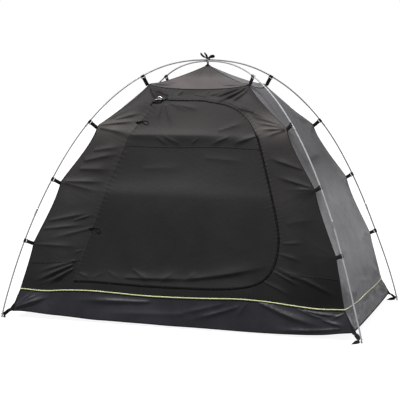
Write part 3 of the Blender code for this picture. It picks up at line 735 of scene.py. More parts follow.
# Node values that add their own Math nodes when they are worked with
class Value:
    def __init__(self, nodes, socket):
        self.nodes, self.socket = nodes, socket

    def maths(self, operation, first, second=0.0):
        return self.nodes.node("ShaderNodeMath", {"operation": operation}, {0: first, 1: second})

    def __add__(self, other):
        return self.maths("ADD", self, other)

    def __sub__(self, other):
        return self.maths("SUBTRACT", self, other)

    def __mul__(self, other):
        return self.maths("MULTIPLY", self, other)

    def __truediv__(self, other):
        return self.maths("DIVIDE", self, other)

    def __rsub__(self, other):
        return self.maths("SUBTRACT", other, self)

    __radd__, __rmul__ = __add__, __mul__

    def sine(self):
        return self.maths("SINE", self)

    def wave(self, pitch):
        return (self * (2 * math.pi / pitch)).sine()

    def size(self):
        return self.maths("ABSOLUTE", self)

    def between(self, low, high):
        return self.nodes.node("ShaderNodeMapRange", {"interpolation_type": "SMOOTHSTEP"},
                               {"Value": self, "From Min": low, "From Max": high})


class Nodes:
    def __init__(self, owner):
        owner.use_nodes = True
        self.tree = owner.node_tree

    def node(self, kind, settings, sockets, output=0):
        made = self.tree.nodes.new(kind)
        for key, value in settings.items():
            if key == "stops":
                ramp = made.color_ramp.elements
                while len(ramp) < len(value):
                    ramp.new(0.5)
                for stop, (position, colour) in zip(ramp, value):
                    stop.position, stop.color = position, (*colour, 1)
            else:
                setattr(made, key, value)
        return self.fill(made, sockets, output)

    def fill(self, node, sockets, output=0):
        for key, value in sockets.items():
            self.plug(node.inputs[key], value)
        return Value(self, node.outputs[output])

    def plug(self, target, value):
        if isinstance(value, Value):
            self.tree.links.new(value.socket, target)
        elif isinstance(value, tuple) and len(value) == 3 and target.type == "RGBA":
            target.default_value = (*value, 1)
        else:
            target.default_value = value

    def split(self, lit, seen, last):
        # one shader lights the scene, and the other is what the camera sees
        ray = self.node("ShaderNodeLightPath", {}, {}, "Is Camera Ray")
        both = self.node("ShaderNodeMixShader", {}, {0: ray, 1: lit, 2: seen})
        self.plug(self.tree.nodes[last].inputs["Surface"], both)


class Paint(Nodes):
    def __init__(self, name):
        self.material = bpy.data.materials.new(name)
        super().__init__(self.material)
        self.shader = self.tree.nodes["Principled BSDF"]

    def cut(self):
        # where on the cut cloth a point is, in metres: along, up and both
        place = self.node("ShaderNodeUVMap", {"uv_map": "cut"}, {})
        along, up = (self.node("ShaderNodeSeparateXYZ", {}, {0: place}, i) for i in (0, 1))
        return along, up, place

    def noise(self, place, scale, detail=2.0, rough=0.5, stretch=None):
        if stretch:
            place = self.node("ShaderNodeVectorMath", {"operation": "MULTIPLY"}, {0: place, 1: stretch})
        return self.node("ShaderNodeTexNoise", {"noise_dimensions": "3D"},
                         {"Vector": place, "Scale": scale, "Detail": detail, "Roughness": rough})

    def mix(self, factor, first, second, how="MIX"):
        return self.node("ShaderNodeMix", {"data_type": "RGBA", "blend_type": how}, {0: factor, 6: first, 7: second}, 2)

    def paintLightRamp(self, colour, place, stops, start):
        # the colour times painted light and shade, a factor that changes with the place
        span = stops[-1][0] - start
        ramp = [((at - start) / span, lightShadeFactor if isinstance(lightShadeFactor, tuple) else (lightShadeFactor,) * 3) for at, lightShadeFactor in stops]
        lightShadeFactor = self.node("ShaderNodeValToRGB", {"stops": ramp}, {0: (place - start) / span})
        return self.mix(1.0, colour, lightShadeFactor, "MULTIPLY")

    def finish(self, colour, roughness, height, **rest):
        normal = self.node("ShaderNodeBump", {}, {"Height": height, "Distance": 1.0, "Strength": 1.0})
        names = {"sheen": "Sheen Weight", "sheenRough": "Sheen Roughness", "specular": "Specular IOR Level",
                 "coat": "Coat Weight", "coatRough": "Coat Roughness", "metal": "Metallic"}
        self.fill(self.shader, {"Base Color": colour, "Roughness": roughness, "Normal": normal,
                                **{names[key]: value for key, value in rest.items()}})
        return self.material


def wovenCloth(name, look):
    # a plain weave with uneven threads, soft creases and slightly clouded dye, and painted light and shade by height,
    # across the cloth and in patches where its look has them
    paint = Paint(name)
    along, up, place = paint.cut()
    threads = along.wave(look["pitch"]) * up.wave(look["pitch"])
    warp = paint.noise(place, 1.0, 2.0, 0.6, (*look["yarn"], 0.0))
    weft = paint.noise(place, 1.0, 2.0, 0.6, (*look["yarn"][::-1], 0.0))
    cloud = paint.noise(place, look["cloudScale"], 4.0, 0.55)
    crinkle = paint.noise(place, look["crinkleScale"], 5.0, 0.62)
    colour = paint.mix(cloud.between(0.32, 0.70), look["shade"], look["tone"])
    if "streaks" in look:
        streak = paint.noise(place, 1.0, 5.0, 0.6, (70.0, 17.0, 0.0)).between(0.30, 0.72)
        colour = paint.mix(streak * look["streaks"], colour, look["light"])
    # painted light and shade: the cloth lighter or darker by height up it
    if "heights" in look:
        colour = paint.paintLightRamp(colour, up, look["heights"], 0.0)
    # painted light and shade: the cloth lighter or darker from left to right across it
    if "across" in look:
        colour = paint.paintLightRamp(colour, along, look["across"], look["across"][0][0])
    # painted light and shade in patches: each one makes the colour lighter or darker by its gain
    for x, z, wide, high, lightGain in look.get("paintedLightPatches", ()):
        right, above = (along - x) / wide, (up - z) / high
        away = right * right + above * above
        colour = paint.mix(away.between(1.0, 0.0), colour, (lightGain, lightGain, lightGain), "MULTIPLY")
    slub = (warp + weft) * 0.5
    colour = paint.mix((slub - 0.5).size() * look["slub"], colour, look["light"])
    rough = look["rough"] + (cloud - 0.5) * 0.16 + (slub - 0.5) * 0.20
    height = crinkle * look["crinkle"] + threads * look["threadHeight"] + slub * look["slubHeight"]
    return paint.finish(colour, rough, height, sheen=look["sheen"], sheenRough=0.45, specular=look["specular"])


# The dye's tone, its clouded shade and its light threads. The height, across and patch tints are painted light and
# shade:
# the cloth lighter or darker by where it is, as light falls on it and comes through it, lighter towards the roof, where
# light comes through. A patch is X, Z, half width, half height and gain
usualCloth = {"pitch": 0.0011, "yarn": (900.0, 14.0), "cloudScale": 5.0, "crinkleScale": 42.0, "crinkle": 0.0011,
              "threadHeight": 0.00006, "slubHeight": 0.00012, "slub": 0.35, "rough": 0.58, "sheen": 0.02,
              "specular": 0.14}
coatedCloth = {**usualCloth, "rough": 0.44, "specular": 0.26, "crinkleScale": 26.0, "crinkle": 0.0016, "slub": 0.2,
               "sheen": 0.0}
clothLooks = {
    "front": {
        **usualCloth,
        "tone": (0.0243, 0.0233, 0.0230), "shade": (0.0192, 0.0187, 0.0187), "light": (0.055, 0.053, 0.052),
        "heights": (
            (0.20, (0.60, 0.61, 0.62)), (0.365, (0.68, 0.69, 0.70)), (0.40, (0.86, 0.86, 0.88)),
            (0.56, (0.95, 0.95, 0.96)), (0.68, 0.95), (0.85, (1.12, 1.10, 1.10)), (1.00, (1.06, 1.04, 1.03)),
            (1.17, (1.26, 1.21, 1.19)), (1.24, (1.9, 1.82, 1.76)), (1.28, (3.0, 2.86, 2.75)), (1.34, (2.7, 2.58, 2.48)),
            (1.42, (1.35, 1.30, 1.26)), (1.58, (1.25, 1.21, 1.17))),
        # painted light and shade: lighter on the left, where the light comes from, darker to the right
        "across": ((-1.15, 1.20), (-0.60, 1.12), (0.0, 1.0), (0.66, 0.95), (1.12, 0.72)),
        "paintedLightPatches": (
            (0.585, 1.315, 0.22, 0.12, 1.60), (-0.58, 1.285, 0.16, 0.07, 1.22), (-0.76, 0.868, 0.18, 0.12, 1.40),
            (-0.84, 0.567, 0.20, 0.10, 1.28), (0.92, 0.285, 0.26, 0.13, 0.70), (0.34, 1.503, 0.12, 0.07, 1.15),
            (-0.16, 1.530, 0.22, 0.05, 0.82), (0.74, 0.853, 0.16, 0.12, 1.10)),
    },
    "door": {
        **usualCloth,
        "tone": (0.0213, 0.0208, 0.0208), "shade": (0.0172, 0.0170, 0.0172), "light": (0.050, 0.049, 0.048),
        "heights": (
            (0.25, (1.10, 1.11, 1.12)), (0.32, (0.92, 0.92, 0.94)), (0.55, (0.84, 0.85, 0.87)),
            (0.78, (0.86, 0.87, 0.89)), (0.83, (0.95, 0.94, 0.96)), (0.875, (1.28, 1.24, 1.26)),
            (0.93, (1.14, 1.11, 1.13)), (1.00, (1.05, 1.02, 1.04)), (1.15, (0.84, 0.85, 0.86)),
            (1.185, (0.98, 0.98, 0.99)), (1.21, (1.22, 1.19, 1.18)), (1.24, (2.2, 2.08, 2.0)),
            (1.29, (1.85, 1.74, 1.67)), (1.40, (1.68, 1.57, 1.52)), (1.50, (1.5, 1.42, 1.37))),
        "paintedLightPatches": (
            (0.34, 1.215, 0.24, 0.035, 0.80), (-0.10, 0.30, 0.80, 0.06, 1.30), (0.0, 1.25, 0.60, 0.045, 1.20),
            (0.0, 0.889, 0.75, 0.07, 1.14)),
    },
    "side": {
        **usualCloth, "tone": (0.348, 0.343, 0.364), "shade": (0.268, 0.265, 0.283), "light": (0.50, 0.50, 0.51),
        "streaks": 0.50, "crinkle": 0.0018,
        "heights": (
            (0.20, 0.74), (0.30, 0.78), (0.45, 1.06), (0.63, 0.92), (0.80, (0.88, 0.88, 0.87)),
            (0.92, (0.62, 0.61, 0.60)), (1.08, (0.34, 0.335, 0.33)), (1.22, 0.37), (1.40, 0.36),
            (1.58, (0.42, 0.42, 0.43))),
        "paintedLightPatches": (
            (-0.62, 0.27, 0.09, 0.09, 0.66), (-0.42, 0.235, 0.16, 0.05, 0.80), (-0.18, 0.30, 0.14, 0.035, 1.16),
            (0.10, 0.31, 0.10, 0.05, 0.84), (0.42, 0.25, 0.16, 0.05, 0.84), (0.25, 0.36, 0.22, 0.06, 1.08),
            (0.0, 1.10, 0.40, 0.08, 0.90)),
    },
    # painted light: the roof's front panel is the front's charcoal cloth drawn lighter, as lit from above and through
    # it, and its height tint darkens it towards the apex as painted shade
    "roofFront": {
        **usualCloth, "tone": (0.122, 0.110, 0.108), "shade": (0.096, 0.086, 0.084), "light": (0.21, 0.20, 0.195),
        "heights": ((0.0, 1.00), (0.17, 0.95), (0.24, 0.56), (0.33, 0.40)),
        "paintedLightPatches": ((-0.30, 0.04, 0.16, 0.12, 0.80), (0.20, 0.16, 0.14, 0.10, 1.06)),
    },
    # painted light: the roof's side panels are the side cloth, drawn in a tone set by how they are lit
    "roofSide": {
        **usualCloth, "tone": (0.20, 0.20, 0.205), "shade": (0.155, 0.155, 0.16), "light": (0.34, 0.34, 0.34),
    },
    "tub": {
        **coatedCloth,
        "tone": (0.0240, 0.0243, 0.0295), "shade": (0.0170, 0.0172, 0.0215), "light": (0.07, 0.072, 0.080),
        "paintedLightPatches": (
            (-1.04, 0.11, 0.22, 0.13, 1.25), (-0.86, 0.09, 0.18, 0.09, 1.10), (0.70, 0.116, 0.42, 0.12, 1.18),
            (-0.30, 0.10, 0.60, 0.10, 1.32)),
    },
    "tubSide": {
        **coatedCloth, "tone": (0.262, 0.260, 0.275), "shade": (0.165, 0.165, 0.175), "light": (0.36, 0.36, 0.37),
        "cloudScale": 15.0,
        "paintedLightPatches": (
            (-0.58, 0.150, 0.11, 0.040, 0.70), (-0.30, 0.165, 0.14, 0.030, 1.22), (-0.06, 0.160, 0.12, 0.030, 0.70),
            (0.11, 0.115, 0.10, 0.045, 1.28), (0.26, 0.135, 0.09, 0.050, 0.70), (0.42, 0.155, 0.09, 0.035, 1.30),
            (0.56, 0.100, 0.07, 0.060, 0.74), (-0.36, 0.080, 0.22, 0.030, 1.14), (0.62, 0.150, 0.05, 0.050, 1.22),
            (-0.16, 0.060, 0.18, 0.025, 0.84)),
    },
    "floor": {
        **coatedCloth, "tone": (0.030, 0.031, 0.036), "shade": (0.020, 0.021, 0.025), "light": (0.07, 0.07, 0.075),
    },
}
materials = {label: wovenCloth(label + "Cloth", look) for label, look in clothLooks.items()}


def webbingFinish():
    # ribbed polyester webbing, its ribs across the strap
    paint = Paint("blackWebbing")
    along, up, place = paint.cut()
    ribs, herring = along.wave(0.0016), (along + up).wave(0.0032)
    fuzz = paint.noise(place, 700.0, 3.0, 0.7)
    colour = paint.mix(fuzz, (0.006, 0.006, 0.0065), (0.020, 0.020, 0.021))
    height = ribs * 0.00012 + herring * 0.00006 + fuzz * 0.00008
    return paint.finish(colour, 0.78 + (fuzz - 0.5) * 0.2, height, sheen=0.03, sheenRough=0.5, specular=0.10)


def seamFinish(name, colour, thread):
    # a folded seam with a row of stitches near each edge
    paint = Paint(name)
    along, up, place = paint.cut()
    fuzz = paint.noise(place, 500.0, 3.0, 0.6)
    edges = [(up - row).size() for row in (0.0016, 0.0064)]
    nearest = paint.node("ShaderNodeMath", {"operation": "MINIMUM"}, {0: edges[0], 1: edges[1]})
    stitch = along.wave(0.0036).between(-0.5, 0.1) * (1.0 - nearest.between(0.0002, 0.0005))
    dark, light = (tuple(c * by for c in colour) for by in (0.75, 1.3))
    colour = paint.mix(stitch, paint.mix(fuzz, dark, light), thread)
    return paint.finish(colour, 0.70 + (fuzz - 0.5) * 0.2, stitch * 0.0004 + fuzz * 0.0001, specular=0.12)


def pipingFinish():
    paint = Paint("limePiping")
    along, up, place = paint.cut()
    twist = (along * (2 * math.pi / 0.0030) + up * 300.0).sine()
    soil = paint.noise(place, 9.0, 4.0, 0.6, (1.0, 6.0, 1.0))
    colour = paint.mix(soil.between(0.30, 0.72), (0.58, 0.62, 0.30), (0.76, 0.79, 0.47))
    # painted light: paler along the right side, which is its second run, where it catches more light
    colour = paint.mix(along.between(2.20, 2.32) * along.between(3.66, 3.54), colour, (0.93, 0.94, 0.74))
    return paint.finish(colour, 0.55 + (soil - 0.5) * 0.2, twist * 0.00018 + soil * 0.0003, sheen=0.1)


def tapeFinish():
    # fine ribs and one row of stitches
    paint = Paint("zipTape")
    along, up, place = paint.cut()
    ribs = up.wave(0.0012)
    fuzz = paint.noise(place, 600.0, 2.0, 0.6)
    stitch = along.wave(0.0034).between(-0.4, 0.2) * (1.0 - (up - 0.0062).size().between(0.0002, 0.0006))
    colour = paint.mix(fuzz, (0.0045, 0.0045, 0.0048), (0.0105, 0.0105, 0.011))
    colour = paint.mix(stitch, colour, (0.03, 0.03, 0.03))
    return paint.finish(colour, 0.72, ribs * 0.0001 + stitch * 0.0003, specular=0.08)


def coilFinish():
    # the coil's turns
    paint = Paint("zipCoil")
    along, up, _ = paint.cut()
    turns, slant = along.wave(0.0019), (along + up * 0.6).wave(0.0038)
    colour = paint.mix(turns.between(-0.6, 0.9), (0.003, 0.003, 0.003), (0.016, 0.016, 0.017))
    return paint.finish(colour, 0.38, turns * 0.0005 + slant * 0.0001, specular=0.18)


def rodFinish():
    # pulled fibreglass: fine fibres along the rod under a clear resin
    paint = Paint("fibreglassRod")
    place = paint.cut()[-1]
    fibre = paint.noise(place, 1.0, 3.0, 0.7, (6.0, 2600.0, 1.0))
    cloud = paint.noise(place, 7.0, 3.0, 0.5)
    colour = paint.mix(fibre, (0.30, 0.305, 0.31), (0.50, 0.51, 0.52))
    colour = paint.mix(cloud.between(0.4, 0.75) * 0.5, colour, (0.62, 0.62, 0.62))
    return paint.finish(colour, 0.30 + fibre * 0.2, fibre * 0.00015, coat=0.25, coatRough=0.15)


def metalFinish(name, dark, bright, rough):
    paint = Paint(name)
    place = paint.cut()[-1]
    brush = paint.noise(place, 1.0, 3.0, 0.7, (3200.0, 120.0, 1.0))
    wear = paint.noise(place, 260.0, 4.0, 0.6)
    colour = paint.mix(brush * 0.5 + wear * 0.5, dark, bright)
    return paint.finish(colour, rough + (wear - 0.5) * 0.25, brush * 0.00006, metal=1.0)


def plasticFinish():
    paint = Paint("blackPlastic")
    place = paint.cut()[-1]
    grain = paint.noise(place, 1500.0, 2.0, 0.6)
    scuff = paint.noise(place, 120.0, 4.0, 0.7).between(0.58, 0.75)
    colour = paint.mix(scuff * 0.5, (0.010, 0.010, 0.0105), (0.040, 0.040, 0.041))
    return paint.finish(colour, 0.42 + scuff * 0.25, grain * 0.00006)


seamColours = {
    "darkSeam": ((0.013, 0.0125, 0.0125), (0.045, 0.044, 0.043)),
    "clothSeam": ((0.027, 0.026, 0.026), (0.042, 0.041, 0.041)),
    # painted light: a lighter copy of clothSeam for the sewn edge's upper part
    "paintedLightSeam": ((0.056, 0.052, 0.050), (0.078, 0.073, 0.070)),
    "greySeam": ((0.060, 0.060, 0.064), (0.13, 0.13, 0.13)),
}
materials.update({name: seamFinish(name, *colours) for name, colours in seamColours.items()})
materials.update({
    "webbing": webbingFinish(), "piping": pipingFinish(), "tape": tapeFinish(), "coil": coilFinish(),
    "rod": rodFinish(), "plastic": plasticFinish(),
    "ferrule": metalFinish("ferruleAlloy", (0.55, 0.56, 0.57), (0.80, 0.81, 0.82), 0.30),
    "slider": metalFinish("sliderNickel", (0.05, 0.05, 0.052), (0.20, 0.20, 0.205), 0.46),
    # painted highlight: a brighter copy of the slider's nickel for one of the two like pulls
    "pull": metalFinish("pullNickelPaintedHighlight", (0.30, 0.30, 0.31), (0.62, 0.62, 0.63), 0.44),
})
print("materials:", len(materials))

# Cloth panels, and how far apart their threads are
threads = {"door": 0.0050, "front": 0.0050, "side": 0.009, "back": 0.010, "tub": 0.0065, "roof": 0.0060, "floor": 0.022}


def mirrored(right, spacing, spare=0, top=None):
    # a whole outline from its right-hand edge, given from the bottom up
    left = right[::-1] * (-1, 1)
    base = np.linspace(left[-1], right[0], int(2 * right[0][0] / spacing) + spare)[1:-1]
    head = np.linspace(right[-1], left[0], top or int(2 * right[-1][0] / spacing) + spare)[1:-1]
    return np.concatenate((right, head, left, base))


def wallOutline(side, spacing):
    rise = np.linspace(tent["tubTop"], tent["wallTop"], int((tent["wallTop"] - tent["tubTop"]) / spacing) + 1)
    return mirrored(np.stack((seamHalf(rise) * sides[side].width, rise), -1), spacing, 1)


# Where the strip over the door folds down over the zip and hides it
zipCover = {"from": 0.075, "to": 0.480, "early": (-0.212, -0.180), "late": (-0.190, 0.030), "ease": 0.035,
            "partly": 0.52, "overlap": 0.013, "proud": 0.0062}


def covered(points):
    # 1 where the strip hides the zip, easing to 0 at both ends
    x, z = np.asarray(points, float).T[:2]
    ease, begins, late = zipCover["ease"], zipCover["from"], zipCover["late"]
    ends = smoothStep(zipCover["to"] + late[0], zipCover["to"] + late[1], x)
    partly = zipCover["partly"] * smoothStep(*zipCover["early"], x)
    return np.maximum(smoothStep(begins - ease, begins + ease, x), partly) * (1 - ends) * (z > 0.9)


def coverLift(u, v):
    lift = smoothStep(0, 0.30, covered(np.stack((u, v), -1))) * zipCover["proud"]
    near = lift > 0
    away, _ = nearestOn(zipPath[zipPath[:, 1] > 1.2][::4], u[near], v[near])
    lift[near] *= 1 - smoothStep(0.008, 0.040, away)
    return lift


def doorOutline(gap, spacing, overlap):
    # up the zip and back down the sewn edge
    reach = gap + (overlap - gap) * covered(zipPath)
    zipEdge = evenly(offsetPath(zipPath, reach[:, None]), spacing)
    zipEdge[0], zipEdge[-1] = doorLines["foot"], doorLines["head"]
    return np.concatenate((zipEdge, evenly(sewnPath, spacing)[::-1][1:-1]))


opening = doorOutline(-0.003, threads["front"], zipCover["overlap"])
frontWall = cutCloth(walls["front"], wallOutline("front", threads["front"]), threads["front"], opening, coverLift).make(
    "frontWallCloth", ["front"], "tent", "front_cloth",
    ["front_wall_left", "front_wall_right", "front_wall_top", "front_wall_bottom"])
doorCloth = cutCloth(walls["front"], doorOutline(0.003, threads["door"], 0.003), threads["door"]).make(
    "doorCloth", ["door"], None, "door_cloth", ["door_panel"])
print("front wall and door cut:", len(frontWall.data.polygons), len(doorCloth.data.polygons))

wallPieces = {"front": frontWall}
for side, finish in (("right", "side"), ("left", "side"), ("back", "front")):
    spacing = threads.get(side, threads["side"])
    wallPieces[side] = cutCloth(walls[side], wallOutline(side, spacing), spacing).make(
        side + "WallCloth", [finish], "tent", finish + "_cloth", [side + "_wall"])

tubPieces, roofPieces = {}, {}
for side, plan in sides.items():
    kind = "front" if plan.axis == 1 else "side"
    rise = np.linspace(tent["edgeLift"], tent["tubTop"], 20)
    right = np.stack((tubHalf(rise) * plan.width, rise), -1)
    tubPieces[side] = cutCloth(tubs[side], mirrored(right, threads["tub"]), threads["tub"]).make(
        side + "TubCloth", ["tub" if kind == "front" else "tubSide"], "tent", f"tub_{kind}_cloth", ["tub_" + side])
    rise = np.linspace(0, roofSlope, 40)
    right = np.stack((roofHalf(rise) * plan.width, rise), -1)
    roofPieces[side] = cutCloth(roofs[side], mirrored(right, threads["roof"], top=5), threads["roof"]).make(
        side + "RoofCloth", ["roof" + kind.title()], "tent", f"roof_{kind}_cloth", ["roof_" + side])
print("walls, bathtub and roof cut")

floorCorners = [(x * halfLength, y * halfDepth) for x, y in corners.values()]
rim = evenly(floorCorners + floorCorners[:1], threads["floor"])[:-1]
floorPiece = cutCloth(ground, rim, threads["floor"]).make(
    "groundsheetCloth", ["floor"], "tent", "groundsheet_cloth", ["groundsheet"])


def declareCloth():
    def declare(piece, restsOn):
        areas[piece.name] = round(sum(face.area for face in piece.data.polygons), 3)

    areas = {}
    for side in sides:
        hooks = [f"clip_{corner}_{number}" for corner in corners if side in corner for number in range(1, 5)]
        wall = wallPieces[side].name
        declare(wallPieces[side], hooks + ["tub_" + side])
        declare(tubPieces[side], ["groundsheet", wall])
        declare(roofPieces[side], ["crown_tie", wall])
    declare(doorCloth, [frontWall.name, "door_zip"])
    declare(floorPiece, ["tub_" + side for side in sides])
    print("cloth areas:", areas)


declareCloth()


# Lines and sections for what is sewn on, wound or moulded
def bend(points, spacing):
    # a smooth line through the points
    points = np.asarray(points, float)
    ends = np.concatenate((points[:1] * 2 - points[1:2], points, points[-1:] * 2 - points[-2:-1]))
    t = np.linspace(0, 1, 16, endpoint=False)[:, None]
    runs = []
    for a, b, c, d in zip(ends, ends[1:], ends[2:], ends[3:]):
        runs.append(0.5 * (2 * b + (c - a) * t + (2 * a - 5 * b + 4 * c - d) * t**2 + (3 * b - a - 3 * c + d) * t**3))
    return evenly(np.concatenate(runs + [points[-1:]]), spacing)


def rounds(count):
    return np.linspace(0, 2 * math.pi, count, endpoint=False)


def oval(wide, high, sides=10, lift=0.0):
    return [(wide * math.cos(a), lift + high * math.sin(a)) for a in rounds(sides)]


def flat(wide, thick):
    # a band's section, its outer face first, with eased edges
    w, h, e = wide / 2, thick / 2, min(wide, thick) * 0.28
    return [(-w + e, h), (w - e, h), (w, h - e), (w, -h + e), (w - e, -h), (-w + e, -h), (-w, -h + e), (-w, h - e)]


def planDirection(corner):
    x, y = corners[corner]
    return Vector((x, y * ratio, 0)) / diagonal


def poleMatrix(corner, z):
    # on the pole's axis: X inward to the cloth, Z up the pole
    point, up, inward = poleFrame(z)
    out = planDirection(corner)
    tail, rod = out * inward.x + Vector((0, 0, inward.y)), out * up.x + Vector((0, 0, up.y))
    turn = Matrix((tail, rod.cross(tail), rod)).transposed().to_4x4()
    return Matrix.Translation(out * (point.x + legShift(corner, z)) + Vector((0, 0, point.y))) @ turn


def wallMatrix(x, z, proud):
    # on the front cloth: X to the right along it, Y up it, Z out of it
    (point,), (normal,) = walls["front"].at([(x, z)], proud)
    along = np.array((1.0, 0, 0)) - normal * normal[0]
    along /= np.linalg.norm(along)
    return Matrix.Translation(point) @ Matrix((along, np.cross(normal, along), normal)).transposed().to_4x4()


# Seams: bound edges up the four corners and the roof's ridges, and the flat seams across the cloth
seams = {"binding": oval(0.0020, 0.0034, 8, -0.0018), "tubCorner": oval(0.0034, 0.0034, 8, -0.002),
         "hem": oval(0.0046, 0.0024, 8), "roofSeam": flat(0.0056, 0.0016), "flatSeam": flat(0.008, 0.0012),
         "sewnEdge": flat(0.0062, 0.0009), "spacing": 0.009, "paintedLightSpan": (1.215, 1.225)}
roundTheFloor = (("front", 1), ("right", 1), ("back", -1), ("left", -1))


def cornerLine(corner):
    x, y = corners[corner]
    side = "front" if y < 0 else "back"
    low = np.linspace(tent["edgeLift"], tent["tubTop"], 16)[:-1]
    rise = np.linspace(tent["tubTop"], tent["wallTop"], 200)
    climb = np.linspace(0, roofSlope, 50)[1:]
    wallEdge, ridge = walls[side].shape(x * seamHalf(rise), rise), roofs[side].shape(x * roofHalf(climb), climb)
    return tubs[side].shape(x * tubHalf(low), low), np.concatenate((wallEdge, ridge))


def makeSeams():
    binding, hem, across = Sewing(), Sewing(), Sewing()
    for corner in corners:
        tubEdge, cabinEdge = cornerLine(corner)
        out = np.array(planDirection(corner))
        binding.strip(evenly(cabinEdge, seams["spacing"]), out + (0, 0, 0.3), seams["binding"])
        hem.strip(evenly(tubEdge, seams["spacing"]), out, seams["tubCorner"])
    for side, plan in sides.items():
        half = wallTopHalf * plan.width - 0.002
        top = [(u, tent["wallTop"] - 0.001) for u in np.linspace(-half, half, 60)]
        binding.along(walls[side], top, 0.0010, seams["roofSeam"], finish=1)
    rim = []
    for side, turn in roundTheFloor:
        width = sides[side].width
        half = halfLength * width - 0.006
        us = np.linspace(-half, half, 110 if width == 1.0 else 66) * turn
        rim.append(tubs[side].cloth(us, np.full(us.shape, tent["edgeLift"])))
    rim = evenly(np.concatenate(rim + [rim[0][:1]]), 0.010)[:-1]
    away = rim * (1 / tent["floorLength"] ** 2, 1 / tent["floorDepth"] ** 2, 0)
    hem.strip(rim, away / np.linalg.norm(away, axis=1)[:, None], seams["hem"], loop=True)
    binding.make("cornerBinding", ["darkSeam", "clothSeam"], "tent", "front_cloth")
    hem.make("bathtubHem", ["webbing"], "tent", "tub_front_cloth")
    for row in (leftSeam, rightSeam):
        across.along(walls["front"], row, 0.0004, seams["flatSeam"])
    sewn = offsetPath(sewnPath, 0.0020)
    # painted light: the sewn edge's upper part takes the lighter copy of the seam finish, to go with the lighter cloth
    # above
    low, high = seams["paintedLightSpan"]
    for part, finish in ((sewn[sewn[:, 1] < high], 1), (sewn[sewn[:, 1] > low], 2)):
        across.along(walls["front"], part, 0.0002, seams["sewnEdge"], finish=finish)
    across.make("frontSeams", ["darkSeam", "clothSeam", "paintedLightSeam"], "tent", "front_cloth")
    return Sewing().along(walls["front"], bandSeam, 0.0004, seams["flatSeam"]).make(
        "doorSeam", ["darkSeam"], None, "door_cloth")


# Lime piping round the top of the bathtub, with its sewn flange below
pipingLook = {"radius": 0.0036, "flange": flat(0.0075, 0.0012)}


def makePiping():
    radius = pipingLook["radius"]
    loop, away = [], []
    for side, turn in roundTheFloor:
        axis, sign, _, width, _ = sides[side]
        half = tubTopHalf * width - 0.004
        us = np.linspace(-half, half, 170 if axis == 1 else 100) * turn
        line = tubs[side].cloth(us, np.full(us.shape, tent["tubTop"]))
        out = np.array((0, sign, 0.0) if axis == 1 else (sign, 0, 0.0))
        loop.append(line + out * radius)
        away.append(np.broadcast_to(out, line.shape))
        below = np.stack((us[1:-1], np.full(len(us) - 2, tent["tubTop"] - 0.006)), -1)
        Sewing().along(tubs[side], below, 0.0006, pipingLook["flange"]).make(
            side + "PipingFlange", ["darkSeam" if axis == 1 else "greySeam"], "tent", "lime_piping")
    Sewing().strip(np.concatenate(loop), np.concatenate(away), oval(radius, radius), loop=True).make(
        "limePiping", ["piping"], "tent", "lime_piping", ["piping"])


# The door's zip: a tape on each side and the coil between them
zipLook = {"tape": flat(0.0054, 0.0030), "beside": 0.0048, "tapeProud": 0.0004,
           "coil": oval(0.0030, 0.0024, 8), "coilProud": 0.0018}


def makeZip():
    outer, inner = (Sewing().along(walls["front"], offsetPath(zipPath, inset), zipLook["tapeProud"], zipLook["tape"])
                    for inset in (-zipLook["beside"], zipLook["beside"]))
    coil = Sewing().along(walls["front"], zipPath, zipLook["coilProud"], zipLook["coil"])
    outer.make("outerZipTape", ["tape"], "tent", "zip_tape")
    return [inner.make("doorZipTape", ["tape"], None, "zip_tape"),
            coil.make("zipCoil", ["coil"], None, "zip_tape", ["door_zip"])]


# The double slider, waiting at the top of the zip, its two metal pulls and a cord tail
sliderLook = {
    "at": (-0.226, 1.4835), "proud": 0.0030, "long": 0.017, "body": flat(0.0105, 0.0062),
    "bridge": ((-0.0065, 0, 0.003), (-0.0055, 0, 0.0062), (0, 0, 0.0072), (0.0055, 0, 0.0062), (0.0065, 0, 0.003)),
    "bridgeBand": flat(0.0016, 0.0030), "eye": 0.0036, "wire": oval(0.0010, 0.0010, 6),
    # each pull: its finish, its half width and its line. The first pull's bright nickel is a painted highlight; the
    # second takes the slider's darker nickel
    "pulls": (
        (1, 0.0039, ((-0.004, 0.001, 0.006), (-0.014, 0.008, 0.010), (-0.026, 0.0155, 0.009), (-0.036, 0.0175, 0.007),
                     (-0.045, 0.0105, 0.005))),
        (0, 0.0040, ((-0.006, -0.002, 0.004), (-0.022, -0.002, 0.006), (-0.042, -0.001, 0.005),
                     (-0.064, -0.010, 0.004))),
    ),
    # each end of the cord: its radius and its line
    "cord": (
        (0.0042, ((-0.010, -0.004, 0.004), (-0.022, -0.013, 0.006), (-0.038, -0.0195, 0.005), (-0.058, -0.0225, 0.004),
                  (-0.076, -0.0245, 0.004))),
        (0.0026, ((-0.060, -0.022, 0.004), (-0.074, -0.026, 0.004), (-0.081, -0.036, 0.003), (-0.084, -0.048, 0.003))),
    ),
}


